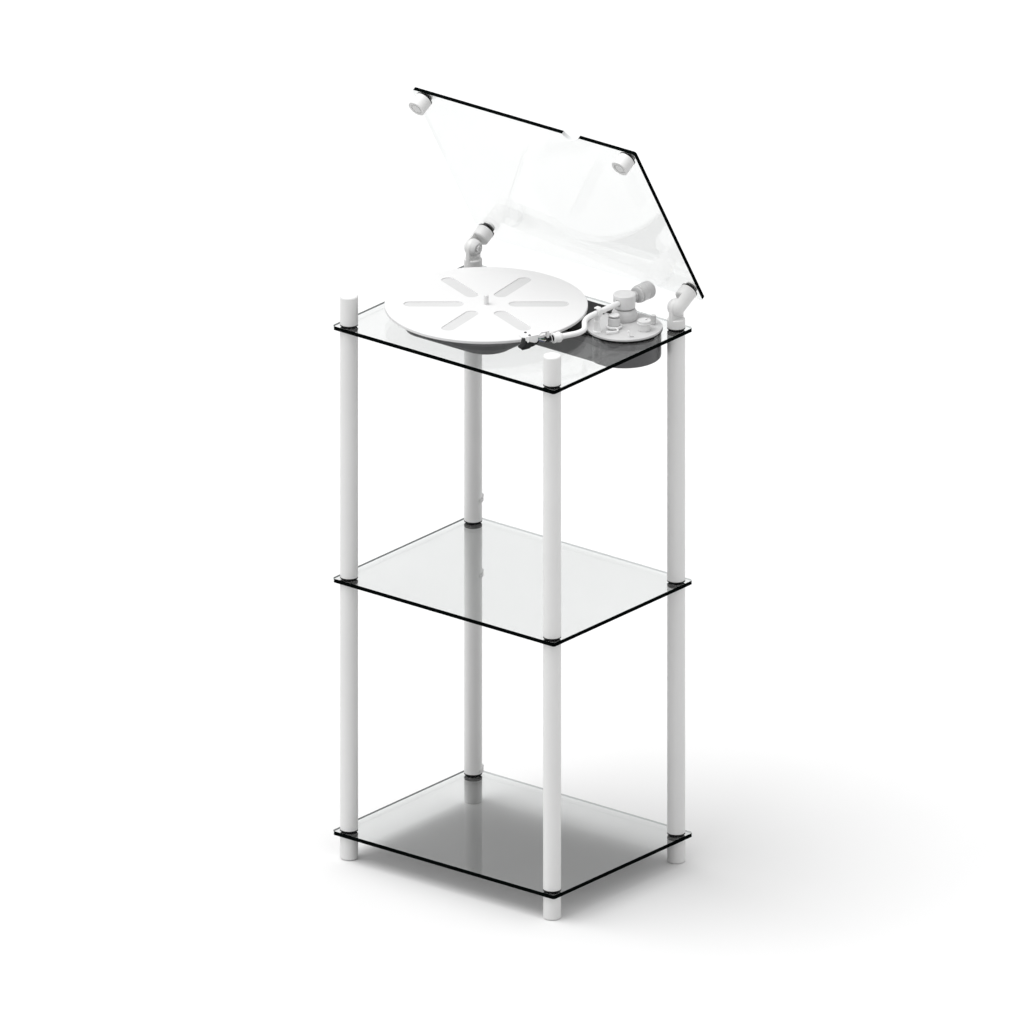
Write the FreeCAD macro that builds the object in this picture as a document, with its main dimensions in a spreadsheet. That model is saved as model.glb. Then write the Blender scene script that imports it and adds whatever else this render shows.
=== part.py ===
"""Three-tier glass shelf stand with a record player let into its top shelf and a hinged glass lid.

Frame: millimetres, +Z up, +Y to the rear, +X to the right as seen from the front.
The origin is on the floor, under the middle of the whole object with the lid open.
"""
import FreeCAD, Part
import math
import os
import re
import Sketcher

Vec = FreeCAD.Vector
doc = FreeCAD.newDocument("record_stand")
nodes = []

# ---------------------------------------------------------------- driving dimensions
SIZES = {
    # whole object
    "row_shift": 13.7,
    # stand: posts, shelves and the stack between them
    "post_x": 384, "post_y": 292, "post_radius": 13.4, "bore_radius": 10.9, "post_height": 390,
    "foot_height": 36.5, "foot_round": 2.5, "cap_height": 45, "cap_round": 3, "washer_height": 2,
    "washer_bore": 4.5, "glass_thick": 6, "glass_width": 420, "glass_depth": 328, "glass_corner": 4,
    "glass_hole": 5, "insert_length": 20, "stud_radius": 3.95, "stud_bore": 4, "stud_reach": 16,
    "top_stud_reach": 8, "blind_depth": 18,
    # cable clips on the rear left post
    "clip_inner": 13.7, "clip_outer": 15.4, "clip_height": 5, "clip_back": 2, "clip_loop": 4,
    "clip_loop_bore": 2.4, "clip_low": 48, "clip_mid": 358, "clip_high": 477,
    # hinges
    "hinge_height": 877.5, "shoulder": 17, "tongue_half": 3.5, "ear_gap": 0.3, "pin_radius": 3,
    "pin_bore": 3.05, "pin_reach": 9.5, "bore_reach": 10, "dome_flat": 10.4, "dome_sink": 8.5,
    "dome_sink_depth": 2, "head_radius": 5.2, "head_reach": 12.2, "shoulder_edge": 1.5, "cross_half": 0.7,
    "cross_reach": 3, "cross_depth": 1.6,
    # lid
    "lid_open": 60, "arm_reach": 34, "lid_depth": 324, "lid_rear": 18, "lid_screw": 2.5,
    "lid_screw_bore": 2.6, "lid_screw_depth": 10, "lid_cap_radius": 9.5, "lid_cap_height": 4,
    "rest_gap": 0.3, "rest_groove_outer": 9.5, "rest_groove_inner": 7, "rest_groove_depth": 1.5,
    "notch_x": 89, "notch_radius": 16.5, "notch_depth": 11,
    # record player casing
    "spindle_x": -50, "spindle_y": 0, "arm_x": 134.4, "arm_y": 96, "case_floor": 802, "front_half": 39.5,
    "front_left": -152, "back_half": 50.5, "back_left": -60, "arm_end": 54.5, "wall": 3, "case_edge": 3,
    "cover_thick": 2, "cover_gap": 0.3, "deck_thick": 1.5, "deck_lip": 2, "glass_gap": 0.6,
    # platter, drive and bearing
    "platter_radius": 150, "platter_thick": 5, "platter_height": 862.7, "platter_edge": 0.8,
    "spindle_radius": 3.6, "spindle_top": 882.2, "boss_radius": 5, "boss_top": 867.8, "platter_bore": 5.15,
    "recess_inner": 43.5, "recess_outer": 111.5, "recess_radius": 10.5, "recess_depth": 1.2,
    "recess_turn": 38.8, "drive_radius": 59, "drive_low": 851.5, "drive_top": 862.6, "shaft_radius": 4,
    "shaft_low": 812, "bearing_bore": 4.05, "bearing_radius": 9, "bearing_low": 809, "bearing_top": 849,
    "bearing_hole": 9.2, "flange_radius": 18, "flange_thick": 3, "motor_x": -150, "motor_radius": 18,
    "motor_low": 808, "motor_top": 838, "pulley_radius": 6, "pulley_flange": 7.5, "pulley_low": 851.5,
    "pulley_top": 861.5, "pulley_rim": 1, "motor_shaft": 1.5, "motor_bore": 1.56, "motor_hole": 8,
    "belt_low": 853.5, "belt_height": 6, "belt_gap": 0.3, "belt_thick": 0.9, "board_x": 15, "board_y": 66,
    "board_z": 812, "board_length": 92, "board_width": 58, "board_thick": 1.6, "inlet_x": 40,
    "inlet_radius": 6, "inlet_pin": 1.1, "socket_x": 76, "socket_pitch": 16, "socket_radius": 4.6,
    "socket_bore": 1.8, "socket_height": 822, "socket_out": 8,
    # tonearm base and what stands on it
    "base_radius": 56.1, "base_thick": 3, "base_edge": 0.8, "pivot_x": 116.7, "pivot_y": 118,
    "tube_height": 878.6, "bell_foot": 17.5, "bell_belly": 19.6, "bell_top": 15.8, "bell_height": 17,
    "neck_radius": 6, "neck_bore": 6.05, "neck_top": 872, "drum_low": 868.4, "drum_top": 888.8,
    "drum_radius": 16.8, "drum_foot": 16.1, "drum_edge": 1, "slot_half": 5.6, "slot_low": 872.6,
    "slot_high": 884.6, "gimbal_radius": 1.5, "gimbal_bore": 1.55, "gimbal_reach": 14, "knob_x": 167.6,
    "knob_y": 101.1, "knob_skirt": 9, "knob_ring": 10.9, "knob_cap": 10, "knob_height": 15.6,
    "knob_cap_height": 3.4, "knob_ring_height": 1.4, "small_x": 163.3, "small_y": 127.9, "small_radius": 4,
    "small_height": 14.4, "spigot": 3, "spigot_bore": 3.05, "thin_spigot": 2, "thin_spigot_bore": 2.05,
    "switch_x": 166.8, "switch_y": 65.9, "switch_radius": 1.4, "switch_height": 8.1, "switch_turn": 38.8,
    "switch_back": 2.1, "switch_travel": 6, "switch_slot": 1.8, "cue_x": 128, "cue_y": 79.5,
    "cue_radius": 9, "cue_height": 17, "lift_rod": 3, "lift_bore": 3.05, "lift_low": 855,
    "lift_high": 870.6, "lift_disc": 8.4, "lift_bar": 2, "lift_reach": 109, "lift_half": 2.4,
    "lever_low": 851, "lever_thick": 3, "lever_ring": 11.6, "lever_bore": 9.3, "lever_half": 1.5,
    "lever_out": 22, "lever_hook": 19, "lever_turn": -31, "rest_y": 53, "rest_radius": 4.8,
    "rest_half_x": 7.4, "rest_half_y": 4, "rest_floor": 871.8, "rest_roof": 885.8, "rest_lip": 2.2,
    "rest_tip": 3,
    # tonearm
    "tube_radius": 4.2, "tube_x": 117.5, "bend_y": 23.2, "elbow_x": 150.8, "elbow_y": -18.1,
    "bend_radius": 50, "elbow_radius": 28, "collar_radius": 7.4, "collar_length": 11, "collar_at": 47.3,
    "shell_turn": 247.2, "weight_from": 27, "weight_to": 58, "weight_radius": 13.4, "dial_radius": 12.4,
    "dial_length": 4, "stub_radius": 4, "stub_bore": 4.1, "plug_radius": 4.6, "plug_to": 19,
    "neck_from": 13.5, "neck_to": 17.5, "neck_half": 3, "shell_from": 31, "shell_to": 61, "shell_half": 9.5,
    "shell_top": 893, "shell_plate": 2.2, "skirt_from": 31, "skirt_to": 46, "skirt_low": 881,
    "skirt_thick": 1.5, "screw_at": 48.5, "screw_pitch": 12.7, "screw_bore": 1.3,
    # pickup: its side profile along the headshell, then the stylus
    "cart_half": 7.3, "cart_from": 33, "cart_flat_end": 52, "cart_brow": 57, "cart_nose": 62,
    "cart_chin": 59.5, "cart_keel": 46, "cart_brow_height": 885, "cart_nose_height": 873, "cart_low": 870.5,
    "cart_tail_height": 878.5, "needle_at": 57, "needle_top": 871.6, "needle_length": 3.4,
    "needle_root": 0.9, "needle_tip": 0.25, "lead_radius": 0.55, "lead_pitch": 2.6,
}

sheet = doc.addObject("Spreadsheet::Sheet", "Dims")
for row, (alias, number) in enumerate(SIZES.items(), start=1):
    sheet.set(f"A{row}", alias)
    sheet.set(f"B{row}", str(number))
    sheet.setAlias(f"B{row}", alias)
doc.recompute()


def size(alias):
    """The number held by a named cell of the sheet."""
    return float(sheet.get(alias))


def bound(text):
    """A formula over the sheet's names, as FreeCAD's expression engine wants it."""
    return re.sub(r"[a-z][a-z_]*",
                  lambda word: "Dims." + word.group() if word.group() in SIZES else word.group(),
                  str(text))


# Heights of the stack, from the floor up
SHELF_LOW = "foot_height + washer_height"
POST_LOW = SHELF_LOW + " + glass_thick + washer_height"
SHELF_MID = POST_LOW + " + post_height + washer_height"
POST_HIGH = SHELF_MID + " + glass_thick + washer_height"
SHELF_TOP = POST_HIGH + " + post_height + washer_height"
DECK = SHELF_TOP + " + glass_thick"
CAP_BASE = DECK + " + washer_height"
BASE = DECK + " + deck_thick"
BASE_TOP = BASE + " + base_thick"
CORNERS = {"front_left": (-1, -1), "front_right": (1, -1), "rear_left": (-1, 1), "rear_right": (1, 1)}


def corner(side):
    """Formulas for the middle of one post."""
    sx, sy = CORNERS[side]
    return f"{sx} * post_x / 2", f"{sy} * post_y / 2"


# ---------------------------------------------------------------- small modelling helpers
TURN = {
    "z": FreeCAD.Rotation(),
    "x": FreeCAD.Rotation(Vec(0, 1, 0), 90),
    "y": FreeCAD.Rotation(Vec(1, 0, 0), -90),
}


def primitive(kind, name, at, axis="z", local=False, **sizes):
    """A Part primitive with its sizes and place bound to the sheet; local leaves the row shift out."""
    item = doc.addObject(kind, name)
    item.Placement = FreeCAD.Placement(Vec(), TURN[axis])
    for key, text in sizes.items():
        item.setExpression(key, bound(text))
    x, y, z = at
    y = y if local else f"{y} - row_shift"
    for letter, text in zip("xyz", (x, y, z)):
        item.setExpression("Placement.Base." + letter, bound(text))
    return item


def cylinder(name, radius, height, at, axis="z", local=False):
    return primitive("Part::Cylinder", name, at, axis, local, Radius=radius, Height=height)


def cone(name, radius_low, radius_high, height, at, axis="z", local=False):
    return primitive("Part::Cone", name, at, axis, local, Radius1=radius_low, Radius2=radius_high,
                     Height=height)


def ball(name, radius, at, local=False):
    return primitive("Part::Sphere", name, at, "z", local, Radius=radius)


def block(name, low, length, width, height, local=False):
    return primitive("Part::Box", name, low, "z", local, Length=length, Width=width, Height=height)


def boolean(kind, name, shapes):
    item = doc.addObject(kind, name)
    item.Shapes = list(shapes)
    item.Refine = True
    return item


def fuse(name, *shapes):
    return boolean("Part::MultiFuse", name, shapes)


def common(name, *shapes):
    return boolean("Part::MultiCommon", name, shapes)


def cut(name, base, *tools):
    item = doc.addObject("Part::Cut", name)
    item.Base = base
    item.Tool = tools[0] if len(tools) == 1 else fuse(name + "_tools", *tools)
    item.Refine = True
    return item


def group(name, *shapes):
    """Several separate solids kept as one node."""
    item = doc.addObject("Part::Compound", name)
    item.Links = list(shapes)
    return item


def at_height(edge, height):
    return all(abs(vertex.Z - height) < 1e-4 for vertex in edge.Vertexes)


def eased(kind, name, base, alias, wanted):
    """A fillet or chamfer on the edges that wanted() picks."""
    doc.recompute()
    picked = [i for i, edge in enumerate(base.Shape.Edges, start=1) if wanted(edge)]
    item = doc.addObject(kind, name)
    item.Base = base
    item.Edges = [(i, size(alias), size(alias)) for i in picked]
    return item


def node(item, label=None):
    """Registers an object as one exported piece."""
    item.Label = label or item.Name
    nodes.append(item)
    return item


def sketch_on(body, name, height):
    """A sketch on the body's own XY plane, raised to a height."""
    plane = next(f for f in body.Origin.OriginFeatures if f.Role == "XY_Plane")
    sketch = body.newObject("Sketcher::SketchObject", name)
    sketch.AttachmentSupport = [(plane, "")]
    sketch.MapMode = "FlatFace"
    sketch.setExpression("AttachmentOffset.Base.z", bound(height))
    return sketch


def hold(sketch, text, kind, *where):
    """A dimension in a sketch, bound to the sheet."""
    index = sketch.addConstraint(Sketcher.Constraint(kind, *where))
    sketch.setExpression(f"Constraints[{index}]", bound(text))


def circle(sketch, radius, x=None, y=None):
    """A circle; x and y are (alias, sign) pairs, or None on the axis."""
    place = Vec(size(x[0]) * x[1], size(y[0]) * y[1], 0) if x else Vec()
    index = sketch.addGeometry(Part.Circle(place, Vec(0, 0, 1), size(radius)))
    hold(sketch, radius, "Radius", index, size(radius))
    if x is None:
        sketch.addConstraint(Sketcher.Constraint("Coincident", index, 3, -1, 1))
        return
    hold(sketch, f"{x[1]} * {x[0]}", "DistanceX", -1, 1, index, 3, place.x)
    hold(sketch, f"{y[1]} * {y[0]}", "DistanceY", -1, 1, index, 3, place.y)


def rectangle(sketch, length, width):
    """A rectangle centred on the sketch's origin."""
    half_x, half_y = size(length) / 2, size(width) / 2
    points = [Vec(sx * half_x, sy * half_y, 0) for sx, sy in ((-1, -1), (1, -1), (1, 1), (-1, 1))]
    for i in range(4):
        sketch.addGeometry(Part.LineSegment(points[i], points[(i + 1) % 4]))
    for i in range(4):
        sketch.addConstraint(Sketcher.Constraint("Coincident", i, 2, (i + 1) % 4, 1))
        sketch.addConstraint(Sketcher.Constraint("Horizontal" if i % 2 == 0 else "Vertical", i))
    sketch.addConstraint(Sketcher.Constraint("Symmetric", 0, 1, 2, 1, -1, 1))
    hold(sketch, length, "DistanceX", 0, 1, 0, 2, size(length))
    hold(sketch, width, "DistanceY", 1, 1, 1, 2, size(width))


def pad(body, sketch, name, length):
    item = body.newObject("PartDesign::Pad", name)
    item.Profile = sketch
    item.setExpression("Length", bound(length))
    return item


def pocket(body, sketch, name, length):
    """A pocket that cuts upwards from its sketch; the lost volume is checked."""
    doc.recompute()
    before = body.Shape.Volume
    item = body.newObject("PartDesign::Pocket", name)
    item.Profile = sketch
    item.Reversed = True
    item.setExpression("Length", bound(length))
    doc.recompute()
    if body.Shape.Volume >= before - 0.01:
        raise RuntimeError(name + " cuts nothing")
    return item


def row_body(name, x="0", y="0"):
    """A PartDesign body in the row's frame."""
    body = doc.addObject("PartDesign::Body", name)
    body.setExpression("Placement.Base.x", bound(x))
    body.setExpression("Placement.Base.y", bound(f"{y} - row_shift"))
    return body


# ---------------------------------------------------------------- feet, posts and their fastenings
def foot(side):
    x, y = corner(side)
    stem = cylinder(f"{side}_foot_stem", "post_radius", "foot_height", (x, y, "0"))
    soft = eased("Part::Fillet", f"{side}_foot_round", stem, "foot_round", lambda e: at_height(e, 0))
    bore = cylinder(f"{side}_foot_bore", "stud_bore", "blind_depth + 1",
                    (x, y, "foot_height - blind_depth"))
    node(cut(f"foot_{side}", soft, bore))


def post(name, side, base):
    x, y = corner(side)
    outer = cylinder(f"{name}_{side}_outer", "post_radius", "post_height", (x, y, base))
    inner = cylinder(f"{name}_{side}_inner", "bore_radius", "post_height + 2", (x, y, base + " - 1"))
    node(cut(f"{name}_{side}", outer, inner))


def insert(name, side, base):
    x, y = corner(side)
    plug = cylinder(name + "_plug", "bore_radius - 0.05", "insert_length", (x, y, base))
    thread = cylinder(name + "_thread", "stud_bore", "insert_length + 2", (x, y, base + " - 1"))
    return cut(name, plug, thread)


def post_inserts():
    parts = []
    for level, base in (("low", POST_LOW), ("high", POST_HIGH)):
        for side in CORNERS:
            parts.append(insert(f"insert_{level}_bottom_{side}", side, base))
            parts.append(insert(f"insert_{level}_top_{side}", side,
                                base + " + post_height - insert_length"))
    node(group("post_inserts", *parts))


def shelf_studs():
    parts = []
    for level, shelf in (("low", SHELF_LOW), ("mid", SHELF_MID), ("top", SHELF_TOP)):
        above = "top_stud_reach" if level == "top" else "stud_reach"
        for side in CORNERS:
            x, y = corner(side)
            length = f"stud_reach + washer_height + glass_thick + washer_height + {above}"
            low = (x, y, f"{shelf} - washer_height - stud_reach")
            parts.append(cylinder(f"stud_{level}_{side}", "stud_radius", length, low))
    node(group("shelf_studs", *parts))


def washer(name, at, local=False):
    x, y, z = at
    outer = cylinder(name + "_outer", "post_radius", "washer_height", at, local=local)
    inner = cylinder(name + "_inner", "washer_bore", "washer_height + 2", (x, y, z + " - 1"), local=local)
    return cut(name, outer, inner)


def shelf_washers():
    parts = []
    for level, shelf in (("low", SHELF_LOW), ("mid", SHELF_MID), ("top", SHELF_TOP)):
        for side in CORNERS:
            x, y = corner(side)
            parts.append(washer(f"washer_{level}_under_{side}", (x, y, shelf + " - washer_height")))
            parts.append(washer(f"washer_{level}_over_{side}", (x, y, shelf + " + glass_thick")))
    node(group("shelf_washers", *parts))


def glass_shelf(name, shelf):
    """A rounded pane with four stud holes."""
    body = row_body(name)
    outline = sketch_on(body, name + "_outline", shelf)
    rectangle(outline, "glass_width", "glass_depth")
    pad(body, outline, name + "_pad", "glass_thick")
    holes = sketch_on(body, name + "_holes", shelf + " - 1")
    for sx, sy in CORNERS.values():
        circle(holes, "glass_hole", ("post_x", sx / 2), ("post_y", sy / 2))
    drilled = pocket(body, holes, name + "_drill", "glass_thick + 2")
    upright = [f"Edge{i}" for i, edge in enumerate(drilled.Shape.Edges, start=1)
               if edge.Curve.TypeId == "Part::GeomLine" and abs(edge.tangentAt(0).z) > 0.9
               and abs(abs(edge.Vertexes[0].X) - size("glass_width") / 2) < 1e-4]
    corners = body.newObject("PartDesign::Fillet", name + "_corners")
    corners.Base = (drilled, upright)
    corners.setExpression("Radius", bound("glass_corner"))
    return body


def front_cap(side):
    x, y = corner(side)
    stem = cylinder(f"{side}_cap_stem", "post_radius", "cap_height", (x, y, CAP_BASE))
    top = sum_heights(CAP_BASE) + size("cap_height")
    soft = eased("Part::Fillet", f"{side}_cap_round", stem, "cap_round", lambda e: at_height(e, top))
    bore = cylinder(f"{side}_cap_bore", "stud_bore", "blind_depth + 1", (x, y, CAP_BASE + " - 1"))
    node(cut(f"cap_{side}", soft, bore))


def sum_heights(text):
    """The value of a plain sum of named heights."""
    return sum(size(word) for word in text.split(" + "))


def cable_clips():
    """Half rings that grip the back of the rear left post, each with a loop for a lead."""
    x, y = corner("rear_left")
    parts = []
    for level in ("clip_low", "clip_mid", "clip_high"):
        ring = cylinder(level + "_ring", "clip_outer", "clip_height", (x, y, level))
        hollow = cylinder(level + "_hollow", "clip_inner", "clip_height + 2", (x, y, level + " - 1"))
        front = block(level + "_front", (f"{x} - 20", f"{y} - 20 - clip_back", level + " - 1"),
                      "40", "20", "clip_height + 2")
        half = cut(level + "_half", ring, hollow, front)
        loop_y = f"{y} + clip_outer + clip_loop - 1"
        loop = cylinder(level + "_loop", "clip_loop", "clip_height", (x, loop_y, level))
        eye = cylinder(level + "_eye", "clip_loop_bore", "clip_height + 2", (x, loop_y, level + " - 1"))
        parts.append(cut(level + "_clip", fuse(level + "_both", half, loop), eye, cylinder(
            level + "_clear", "clip_inner", "clip_height + 2", (x, y, level + " - 1"))))
    node(group("cable_clips", *parts))


# ---------------------------------------------------------------- hinges and lid
def slab(name, low_x, high_x, local, centre=("0", "0", "0")):
    """A wide slab between two X values, about a hinge's ball."""
    x, y, z = centre
    return block(name, (f"{x} + {low_x}", f"{y} - 20", f"{z} - 20"), f"{high_x} - ({low_x})", "40", "60",
                 local)


def knuckle(side):
    """The fixed half of a hinge: a round base whose middle tongue ends in a ball."""
    x, y = corner("rear_" + side)
    base_height = f"hinge_height - shoulder - ({CAP_BASE})"
    stem = cylinder(f"knuckle_{side}_stem", "post_radius", base_height, (x, y, CAP_BASE))
    rim = size("hinge_height") - size("shoulder")
    base = eased("Part::Chamfer", f"knuckle_{side}_edge", stem, "shoulder_edge",
                 lambda e: at_height(e, rim))
    neck = cylinder(f"knuckle_{side}_neck", "post_radius", "shoulder + 2",
                    (x, y, "hinge_height - shoulder - 2"))
    head = ball(f"knuckle_{side}_ball", "post_radius", (x, y, "hinge_height"))
    plate = slab(f"knuckle_{side}_slab", "-tongue_half", "tongue_half", False, (x, y, "hinge_height"))
    tongue = common(f"knuckle_{side}_tongue", plate, fuse(f"knuckle_{side}_round", neck, head))
    pin = cylinder(f"knuckle_{side}_pin", "pin_bore", "20", (f"{x} - 10", y, "hinge_height"), "x")
    stud = cylinder(f"knuckle_{side}_stud", "stud_bore", "top_stud_reach + 2", (x, y, CAP_BASE + " - 1"))
    node(cut(f"hinge_base_{side}", fuse(f"knuckle_{side}_whole", base, tongue), pin, stud))


def hinge_bolt(side, out):
    """The domed bolt: it fills the inner half of the ball and its pin crosses tongue and ear."""
    x, y = corner("rear_" + side)
    middle = (x, y, "hinge_height")
    whole = ball(f"bolt_{side}_ball", "post_radius", middle)
    near, far = "tongue_half + ear_gap", "dome_flat"
    low, high = ("-" + far, f"-({near})") if out > 0 else (near, far)
    dome = common(f"bolt_{side}_dome", slab(f"bolt_{side}_slab", low, high, False, middle), whole)
    flat = f"{x} - {out} * dome_flat"
    sink_x = f"{flat} - 1" if out > 0 else f"{flat} - dome_sink_depth"
    sink = cylinder(f"bolt_{side}_sink", "dome_sink", "dome_sink_depth + 1", (sink_x, y, "hinge_height"),
                    "x")
    head_x = f"{x} - head_reach" if out > 0 else f"{x} + dome_flat - dome_sink_depth - 1"
    head_length = "head_reach - dome_flat + dome_sink_depth + 1"
    head = cylinder(f"bolt_{side}_head", "head_radius", head_length, (head_x, y, "hinge_height"), "x")
    pin_x = f"{x} - dome_flat + 4" if out > 0 else f"{x} - pin_reach"
    pin = cylinder(f"bolt_{side}_pin", "pin_radius", "pin_reach + dome_flat - 4",
                   (pin_x, y, "hinge_height"), "x")
    face_x = f"{x} - head_reach - 1" if out > 0 else f"{x} + head_reach - cross_depth"
    slots = [
        block(f"bolt_{side}_slot_flat", (face_x, f"{y} - cross_reach", "hinge_height - cross_half"),
              "cross_depth + 1", "2 * cross_reach", "2 * cross_half"),
        block(f"bolt_{side}_slot_tall", (face_x, f"{y} - cross_half", "hinge_height - cross_reach"),
              "cross_depth + 1", "2 * cross_half", "2 * cross_reach"),
    ]
    whole_bolt = fuse(f"bolt_{side}_whole", cut(f"bolt_{side}_shell", dome, sink), head, pin)
    node(cut(f"hinge_bolt_{side}", whole_bolt, *slots))


def lid_node(item):
    """Stands a piece built about the hinge axis, lid closed, at its place with the lid open."""
    turn = FreeCAD.Rotation(Vec(1, 0, 0), -size("lid_open"))
    place = Vec(0, size("post_y") / 2 - size("row_shift"), size("hinge_height"))
    item.Placement = FreeCAD.Placement(place, turn)
    return node(item)


def hinge_arm(side, out):
    """The moving half: a round arm whose outer ear ends in a ball; in the lid's own frame."""
    x = f"{out} * post_x / 2"
    stem = cylinder(f"arm_{side}_stem", "post_radius", "arm_reach - shoulder", (x, "0", "shoulder"),
                    local=True)
    base = eased("Part::Chamfer", f"arm_{side}_edge", stem, "shoulder_edge",
                 lambda e: at_height(e, size("shoulder")))
    neck = cylinder(f"arm_{side}_neck", "post_radius", "shoulder + 2", (x, "0", "0"), local=True)
    head = ball(f"arm_{side}_ball", "post_radius", (x, "0", "0"), local=True)
    low, high = ("tongue_half + ear_gap", "20") if out > 0 else ("-20", "-(tongue_half + ear_gap)")
    plate = slab(f"arm_{side}_slab", low, high, True, (x, "0", "0"))
    ear = common(f"arm_{side}_ear", plate, fuse(f"arm_{side}_round", neck, head))
    pin_x = x if out > 0 else f"{x} - bore_reach"
    pin = cylinder(f"arm_{side}_pin", "pin_bore", "bore_reach", (pin_x, "0", "0"), "x", True)
    screw = cylinder(f"arm_{side}_screw", "lid_screw_bore", "lid_screw_depth + 1",
                     (x, "0", "arm_reach - lid_screw_depth"), local=True)
    lid_node(cut(f"hinge_arm_{side}", fuse(f"arm_{side}_whole", base, ear), pin, screw))


LID_UNDER = "arm_reach + washer_height"


def lid_fixings():
    """The four places where the lid is held, as (name, X formula, Y formula) in the lid's own frame."""
    for side, sign in (("left", -1), ("right", 1)):
        yield f"rear_{side}", f"{sign} * post_x / 2", "0"
        yield f"front_{side}", f"{sign} * post_x / 2", "-post_y"


def lid_glass():
    pane = block("lid_pane", ("-glass_width / 2", "lid_rear - lid_depth", LID_UNDER),
                 "glass_width", "lid_depth", "glass_thick", True)
    soft = eased("Part::Fillet", "lid_corners", pane, "glass_corner", lambda e: abs(e.tangentAt(0).z) > 0.9)
    front = "lid_rear - lid_depth"
    bite = cylinder("lid_bite", "notch_radius", "glass_thick + 2",
                    ("notch_x", f"{front} - notch_radius + notch_depth", LID_UNDER + " - 1"), local=True)
    holes = [cylinder(f"lid_hole_{name}", "lid_screw + 1", "glass_thick + 2", (x, y, LID_UNDER + " - 1"),
                      local=True)
             for name, x, y in lid_fixings()]
    lid_node(cut("lid_glass", soft, bite, *holes))


def lid_washers():
    parts = [washer(f"lid_washer_{name}", (x, y, "arm_reach"), True) for name, x, y in lid_fixings()]
    lid_node(group("lid_washers", *parts))


def lid_caps():
    """Low round caps outside the glass, each with the screw that goes through it."""
    parts = []
    for name, x, y in lid_fixings():
        top = LID_UNDER + " + glass_thick"
        head = cylinder(f"lid_cap_{name}_head", "lid_cap_radius", "lid_cap_height", (x, y, top), local=True)
        crown = sum_heights(top) + size("lid_cap_height")
        soft = eased("Part::Fillet", f"lid_cap_{name}_soft", head, "shoulder_edge",
                     lambda e: at_height(e, crown))
        screw = cylinder(f"lid_cap_{name}_screw", "lid_screw",
                         "glass_thick + washer_height + lid_screw_depth",
                         (x, y, "arm_reach - lid_screw_depth + 0.5"), local=True)
        parts.append(fuse(f"lid_cap_{name}", soft, screw))
    lid_node(group("lid_caps", *parts))


def lid_rest(side, out):
    """A round stop under the lid's front corner, which lands on the front cap."""
    x, y = f"{out} * post_x / 2", "-post_y"
    low = f"{CAP_BASE} + cap_height + rest_gap - hinge_height"
    stem = cylinder(f"rest_{side}_stem", "post_radius", f"arm_reach - ({low})", (x, y, low), local=True)
    ring = cylinder(f"rest_{side}_ring", "rest_groove_outer", "rest_groove_depth + 1", (x, y, f"{low} - 1"),
                    local=True)
    core = cylinder(f"rest_{side}_core", "rest_groove_inner", "rest_groove_depth + 3", (x, y, f"{low} - 2"),
                    local=True)
    screw = cylinder(f"rest_{side}_screw", "lid_screw_bore", "lid_screw_depth + 1",
                     (x, y, "arm_reach - lid_screw_depth"), local=True)
    lid_node(cut(f"lid_rest_{side}", stem, cut(f"rest_{side}_groove", ring, core), screw))


# ---------------------------------------------------------------- record player casing
def case_form(name, inset, low, high, edge=None):
    """The casing's plan, drawn in by inset: a front bar, a link, and a back bar with a round arm end."""
    height = f"({high}) - ({low})"

    def bar(part, left, right, y, half):
        width = f"2 * ({half} - ({inset}))"
        base = f"{y} - {half} + ({inset})"
        return block(f"{name}_{part}", (left, base, low), f"{right} - ({left})", width, height)

    def drum(part, x, y, radius):
        return cylinder(f"{name}_{part}", f"{radius} - ({inset})", height, (x, y, low))

    pieces = {
        "front_bar": bar("front_bar", "front_left", "spindle_x", "spindle_y", "front_half"),
        "front_end": drum("front_end", "front_left", "spindle_y", "front_half"),
        "front_nose": drum("front_nose", "spindle_x", "spindle_y", "front_half"),
        "back_bar": bar("back_bar", "back_left", "arm_x", "arm_y", "back_half"),
        "back_end": drum("back_end", "back_left", "arm_y", "back_half"),
        "arm_end": drum("arm_end", "arm_x", "arm_y", "arm_end"),
    }
    link = block(f"{name}_link", ("spindle_x - front_half", "spindle_y", low),
                 f"2 * front_half - ({inset})", "arm_y", height)
    if edge:
        floor = size("case_floor")
        for key, piece in pieces.items():
            straight = key.endswith("bar")
            pieces[key] = eased("Part::Fillet", f"{name}_{key}_soft", piece, edge,
                                lambda e: at_height(e, floor)
                                and (not straight or abs(e.tangentAt(0).x) > 0.9))
        link = eased("Part::Fillet", f"{name}_link_soft", link, edge,
                     lambda e: at_height(e, floor) and abs(e.tangentAt(0).y) > 0.9)
    return fuse(name, *pieces.values(), link)


def case_holes(name, low, height):
    """What passes up out of the casing: the main bearing and the motor's shaft."""
    bearing = cylinder(name + "_bearing", "bearing_hole", height, ("spindle_x", "spindle_y", low))
    motor = cylinder(name + "_motor", "motor_hole", height, ("motor_x", "spindle_y", low))
    return [bearing, motor]


REAR_FACE = "arm_y + back_half"


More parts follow.
